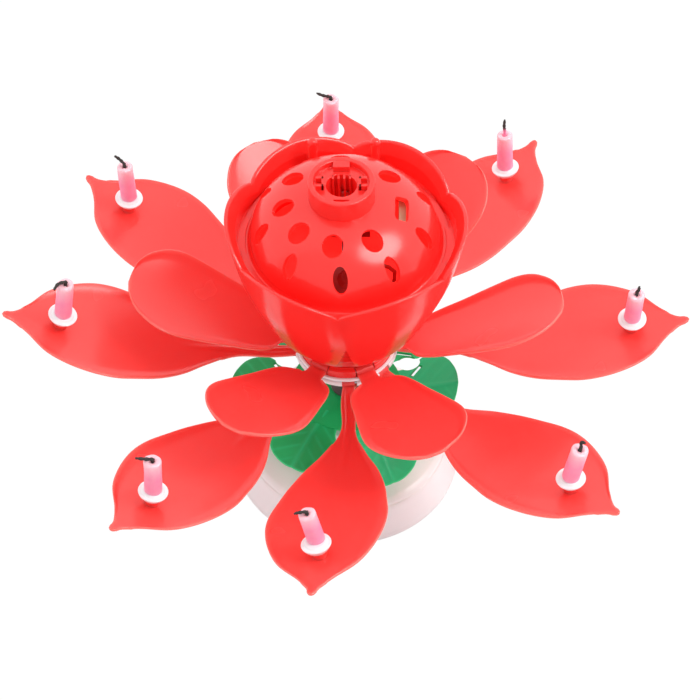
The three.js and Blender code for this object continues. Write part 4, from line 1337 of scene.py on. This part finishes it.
def petal_height(shape, spine, along, across, width=0):
    """The middle of a petal's thickness at a place on it."""
    place = min(SPINE_STEPS, max(0, SPINE_STEPS * along / shape.length))
    k = min(int(place), SPINE_STEPS - 1)
    height = spine[k] + (spine[k + 1] - spine[k]) * (place - k)
    height += shape.cupping * (across / shape.half_width) ** 2
    rib = shape.rib * max(0, 1 - along / RIB_LENGTH) * smoothstep(along, 1, 6)
    height += rib * math.exp(-(across / RIB_WIDTH) ** 4)
    if width > STALK_WIDTH:
        height += shape.fold * smoothstep(abs(across) / width, shape.fold_start, 1)
    return height


def petal_piece(name, shape):
    """A petal along X from its hinge: the blade, the barrel and, on an outer one, the stub for the dish."""
    spine = spine_heights(shape)
    stations = outline_stations(shape.outline, shape.length, shape.half_width, BLADE_STATIONS, BLADE_RADIUS)
    clear = [(along + BLADE_INSET * (1 - along / shape.length), width) for along, width in stations]
    parts = [sheet(name + "_blade", clear, BLADE_RADIUS, lambda x, y, w: petal_height(shape, spine, x, y, w))]
    half = shape.half_width * shape.outline[0][1]
    barrel = turned(name + "_barrel", [
        (BARREL_BORE, -half, 0), (BARREL_RADIUS, -half, 0), (BARREL_RADIUS, half, 0), (BARREL_BORE, half, 0)],
        closed=True, sides=BARREL_SIDES)
    barrel.matrix_world = rotated(90, "X")
    parts.append(barrel)
    if shape is OUTER:
        foot = petal_height(shape, spine, DISH_ALONG, 0)
        stub = turned(name + "_stub", [
            (0, foot, 0), (STUB_RADIUS + 0.4, foot, 0), (STUB_RADIUS, foot + 1, 0.5),
            (STUB_RADIUS, foot + STUB_RISE, 0.2), (0, foot + STUB_RISE, 0)], sides=SMALL_SIDES)
        stub.matrix_world = moved(DISH_ALONG, 0, 0)
        parts.append(stub)
    petal = joined(name, parts)
    shade_by_angle(petal, 60)
    return petal


def bow_stalk(petal):
    """Bends the front petal's stalk to its left, and brings the rest back most of the way."""
    for vert in petal.data.vertices:
        share = vert.co.x / MM / OUTER.length
        bow = smoothstep(share, 0.03, 0.2) * (1 - 0.8 * smoothstep(share, 0.25, 0.7))
        vert.co.y += FRONT_STALK_BOW * MM * bow


def place_petals(shape):
    """Makes all petals of a kind, each at its own rest."""
    for i in range(len(shape.tilts)):
        number = i + 1
        petal = petal_piece(f"{shape.kind}_blade_{number}", shape)
        if shape is OUTER and number == FRONT_PETAL:
            bow_stalk(petal)
        petal.matrix_world = petal_matrix(shape, i)
        dressed(petal, f"{shape.kind}_set_{number}", "petal_red", "red", f"{shape.kind}_petal_{number}")


class LotusOuterPetals(bpy.types.Operator):
    """Builds the eight long petals"""
    bl_idname = "lotus.outer_petals"
    bl_label = "Outer petals"

    def execute(self, context):
        place_petals(OUTER)
        return {"FINISHED"}


class LotusInnerPetals(bpy.types.Operator):
    """Builds the six short petals"""
    bl_idname = "lotus.inner_petals"
    bl_label = "Inner petals"

    def execute(self, context):
        place_petals(INNER)
        return {"FINISHED"}


# Candles

def candle_piece(name, seed):
    """A small candle with a melted top, a little out of round."""
    def melt(azimuth, radius, height):
        place = Vector((math.cos(azimuth), math.sin(azimuth), height / 4)) + Vector((seed * 7.3, 0, 0))
        uneven = noise.noise(place)
        top = smoothstep(height, CANDLE_LENGTH - 4, CANDLE_LENGTH)
        taper = 1 - CANDLE_TAPER * height / CANDLE_LENGTH
        return radius * taper * (1 + uneven * (0.03 + 0.06 * top)), height + uneven * top * 0.5
    side = [(CANDLE_RADIUS, height, 0) for height in (4, 8, 12)]
    profile = [
        (0, 0, 0), (CANDLE_RADIUS, 0, 0.3), *side, (CANDLE_RADIUS, CANDLE_LENGTH - 0.3, 1.2),
        (1.3, CANDLE_LENGTH - 0.1, 0.4), (WICK_RADIUS, CANDLE_LENGTH - 0.7, 0),
        (WICK_RADIUS, CANDLE_LENGTH - 1.6, 0), (0, CANDLE_LENGTH - 1.6, 0),
    ]
    candle = turned(name, profile, sides=SMALL_SIDES, shape=melt)
    shade_by_angle(candle, 60)
    float_layer(candle, "near_top", lambda co: smoothstep(co.z, CANDLE_LENGTH - 5, CANDLE_LENGTH))
    return candle


def wick_piece(name, bends, waxed):
    """A bent wick, pink at its foot where it is waxed."""
    reach = WICK_REACH / 2
    points = [(0, 0, CANDLE_LENGTH - 1.3), (0, 0, CANDLE_LENGTH)]
    points += [(a * reach, b * reach, CANDLE_LENGTH + c * reach) for a, b, c in bends]

    def radius_at(share, angle):
        taper = 1 if share < 0.85 else 1 - 2.5 * (share - 0.85)
        return WICK_RADIUS * taper * (1 + 0.16 * math.sin(2 * angle + 40 * share))
    wick = swept(name, curve_through(points, 40), radius_at, sides=WICK_SIDES)
    float_layer(wick, "waxed",
                lambda co: waxed * (1 - smoothstep(co.z, CANDLE_LENGTH + 1, CANDLE_LENGTH + 3)))
    return wick


def dish_piece(name):
    """A white dish with a low rim and a raised seat for the candle."""
    dish = turned(name, [
        (0, 0, 0), (DISH_FOOT, 0, 0.3), (DISH_RADIUS - 0.2, DISH_HEIGHT - DISH_RIM, 0.6),
        (DISH_RADIUS, DISH_HEIGHT, 0.3), (SEAT_RADIUS + 0.4, DISH_HEIGHT, 0.2), (SEAT_RADIUS, DISH_TOP, 0.3),
        (0, DISH_TOP, 0)], sides=DISH_SIDES)
    shade_by_angle(dish, 50)
    return dish


class LotusCandles(bpy.types.Operator):
    """Builds the dishes, the candles and their wicks"""
    bl_idname = "lotus.candles"
    bl_label = "Candles"

    def execute(self, context):
        base = petal_height(OUTER, spine_heights(OUTER), DISH_ALONG, 0) + STUB_RISE + GAP
        for i in range(len(OUTER.tilts)):
            number = i + 1
            body = f"outer_set_{number}"
            seat = petal_matrix(OUTER, i) @ moved(DISH_ALONG, 0, base)
            shift, share = (FRONT_CANDLE_SHIFT, FRONT_CANDLE_SHARE) if number == FRONT_PETAL else (0, 1)
            stand = (seat @ moved(-shift, 0, CANDLE_FOOT) @ rotated(-LEANS_ACROSS[i], "X")
                     @ rotated(LEANS_ALONG[i], "Y") @ Matrix.Diagonal((1, 1, share, 1)))
            dish = dish_piece(f"white_dish_{number}")
            dish.matrix_world = seat
            dressed(dish, body, "foot_white", "white", f"candle_dish_{number}")
            candle = candle_piece(f"pink_candle_{number}", number)
            candle.matrix_world = stand
            dressed(candle, body, "candle_wax", "wax", f"candle_{number}")
            wick = wick_piece(f"bent_wick_{number}", WICK_SHAPE_SHARES[i], number == WAXED_WICK)
            wick.matrix_world = stand
            dressed(wick, body, "wick_char", "wick", f"wick_{number}")
        return {"FINISHED"}


class LotusPanel(bpy.types.Panel):
    bl_idname = "VIEW3D_PT_lotus_candle"
    bl_label = "Lotus candle"
    bl_space_type = "VIEW_3D"
    bl_region_type = "UI"
    bl_category = "Lotus candle"

    def draw(self, context):
        for name in LotusSizes.__annotations__:
            self.layout.prop(context.scene.lotus_sizes, name)
        for name in LotusColours.__annotations__:
            self.layout.prop(context.scene.lotus_colours, name)
        for operator in OPERATORS:
            self.layout.operator(operator.bl_idname)


OPERATORS = (
    LotusStage, LotusStand, LotusStem, LotusLeaves, LotusHub, LotusCup, LotusDome, LotusDrive,
    LotusOuterPetals, LotusInnerPetals, LotusCandles,
)
CLASSES = (LotusSizes, LotusColours, *OPERATORS, LotusPanel)


def register():
    for cls in CLASSES:
        bpy.utils.register_class(cls)
    bpy.types.Scene.lotus_sizes = bpy.props.PointerProperty(type=LotusSizes)
    bpy.types.Scene.lotus_colours = bpy.props.PointerProperty(type=LotusColours)


def unregister():
    del bpy.types.Scene.lotus_colours
    del bpy.types.Scene.lotus_sizes
    for cls in reversed(CLASSES):
        bpy.utils.unregister_class(cls)


def main():
    register()
    bpy.ops.lotus.stage()
    bpy.ops.lotus.stand()
    bpy.ops.lotus.stem()
    bpy.ops.lotus.leaves()
    bpy.ops.lotus.hub()
    bpy.ops.lotus.cup()
    bpy.ops.lotus.dome()
    bpy.ops.lotus.drive()
    bpy.ops.lotus.outer_petals()
    bpy.ops.lotus.inner_petals()
    bpy.ops.lotus.candles()


if __name__ == "__main__":
    main()
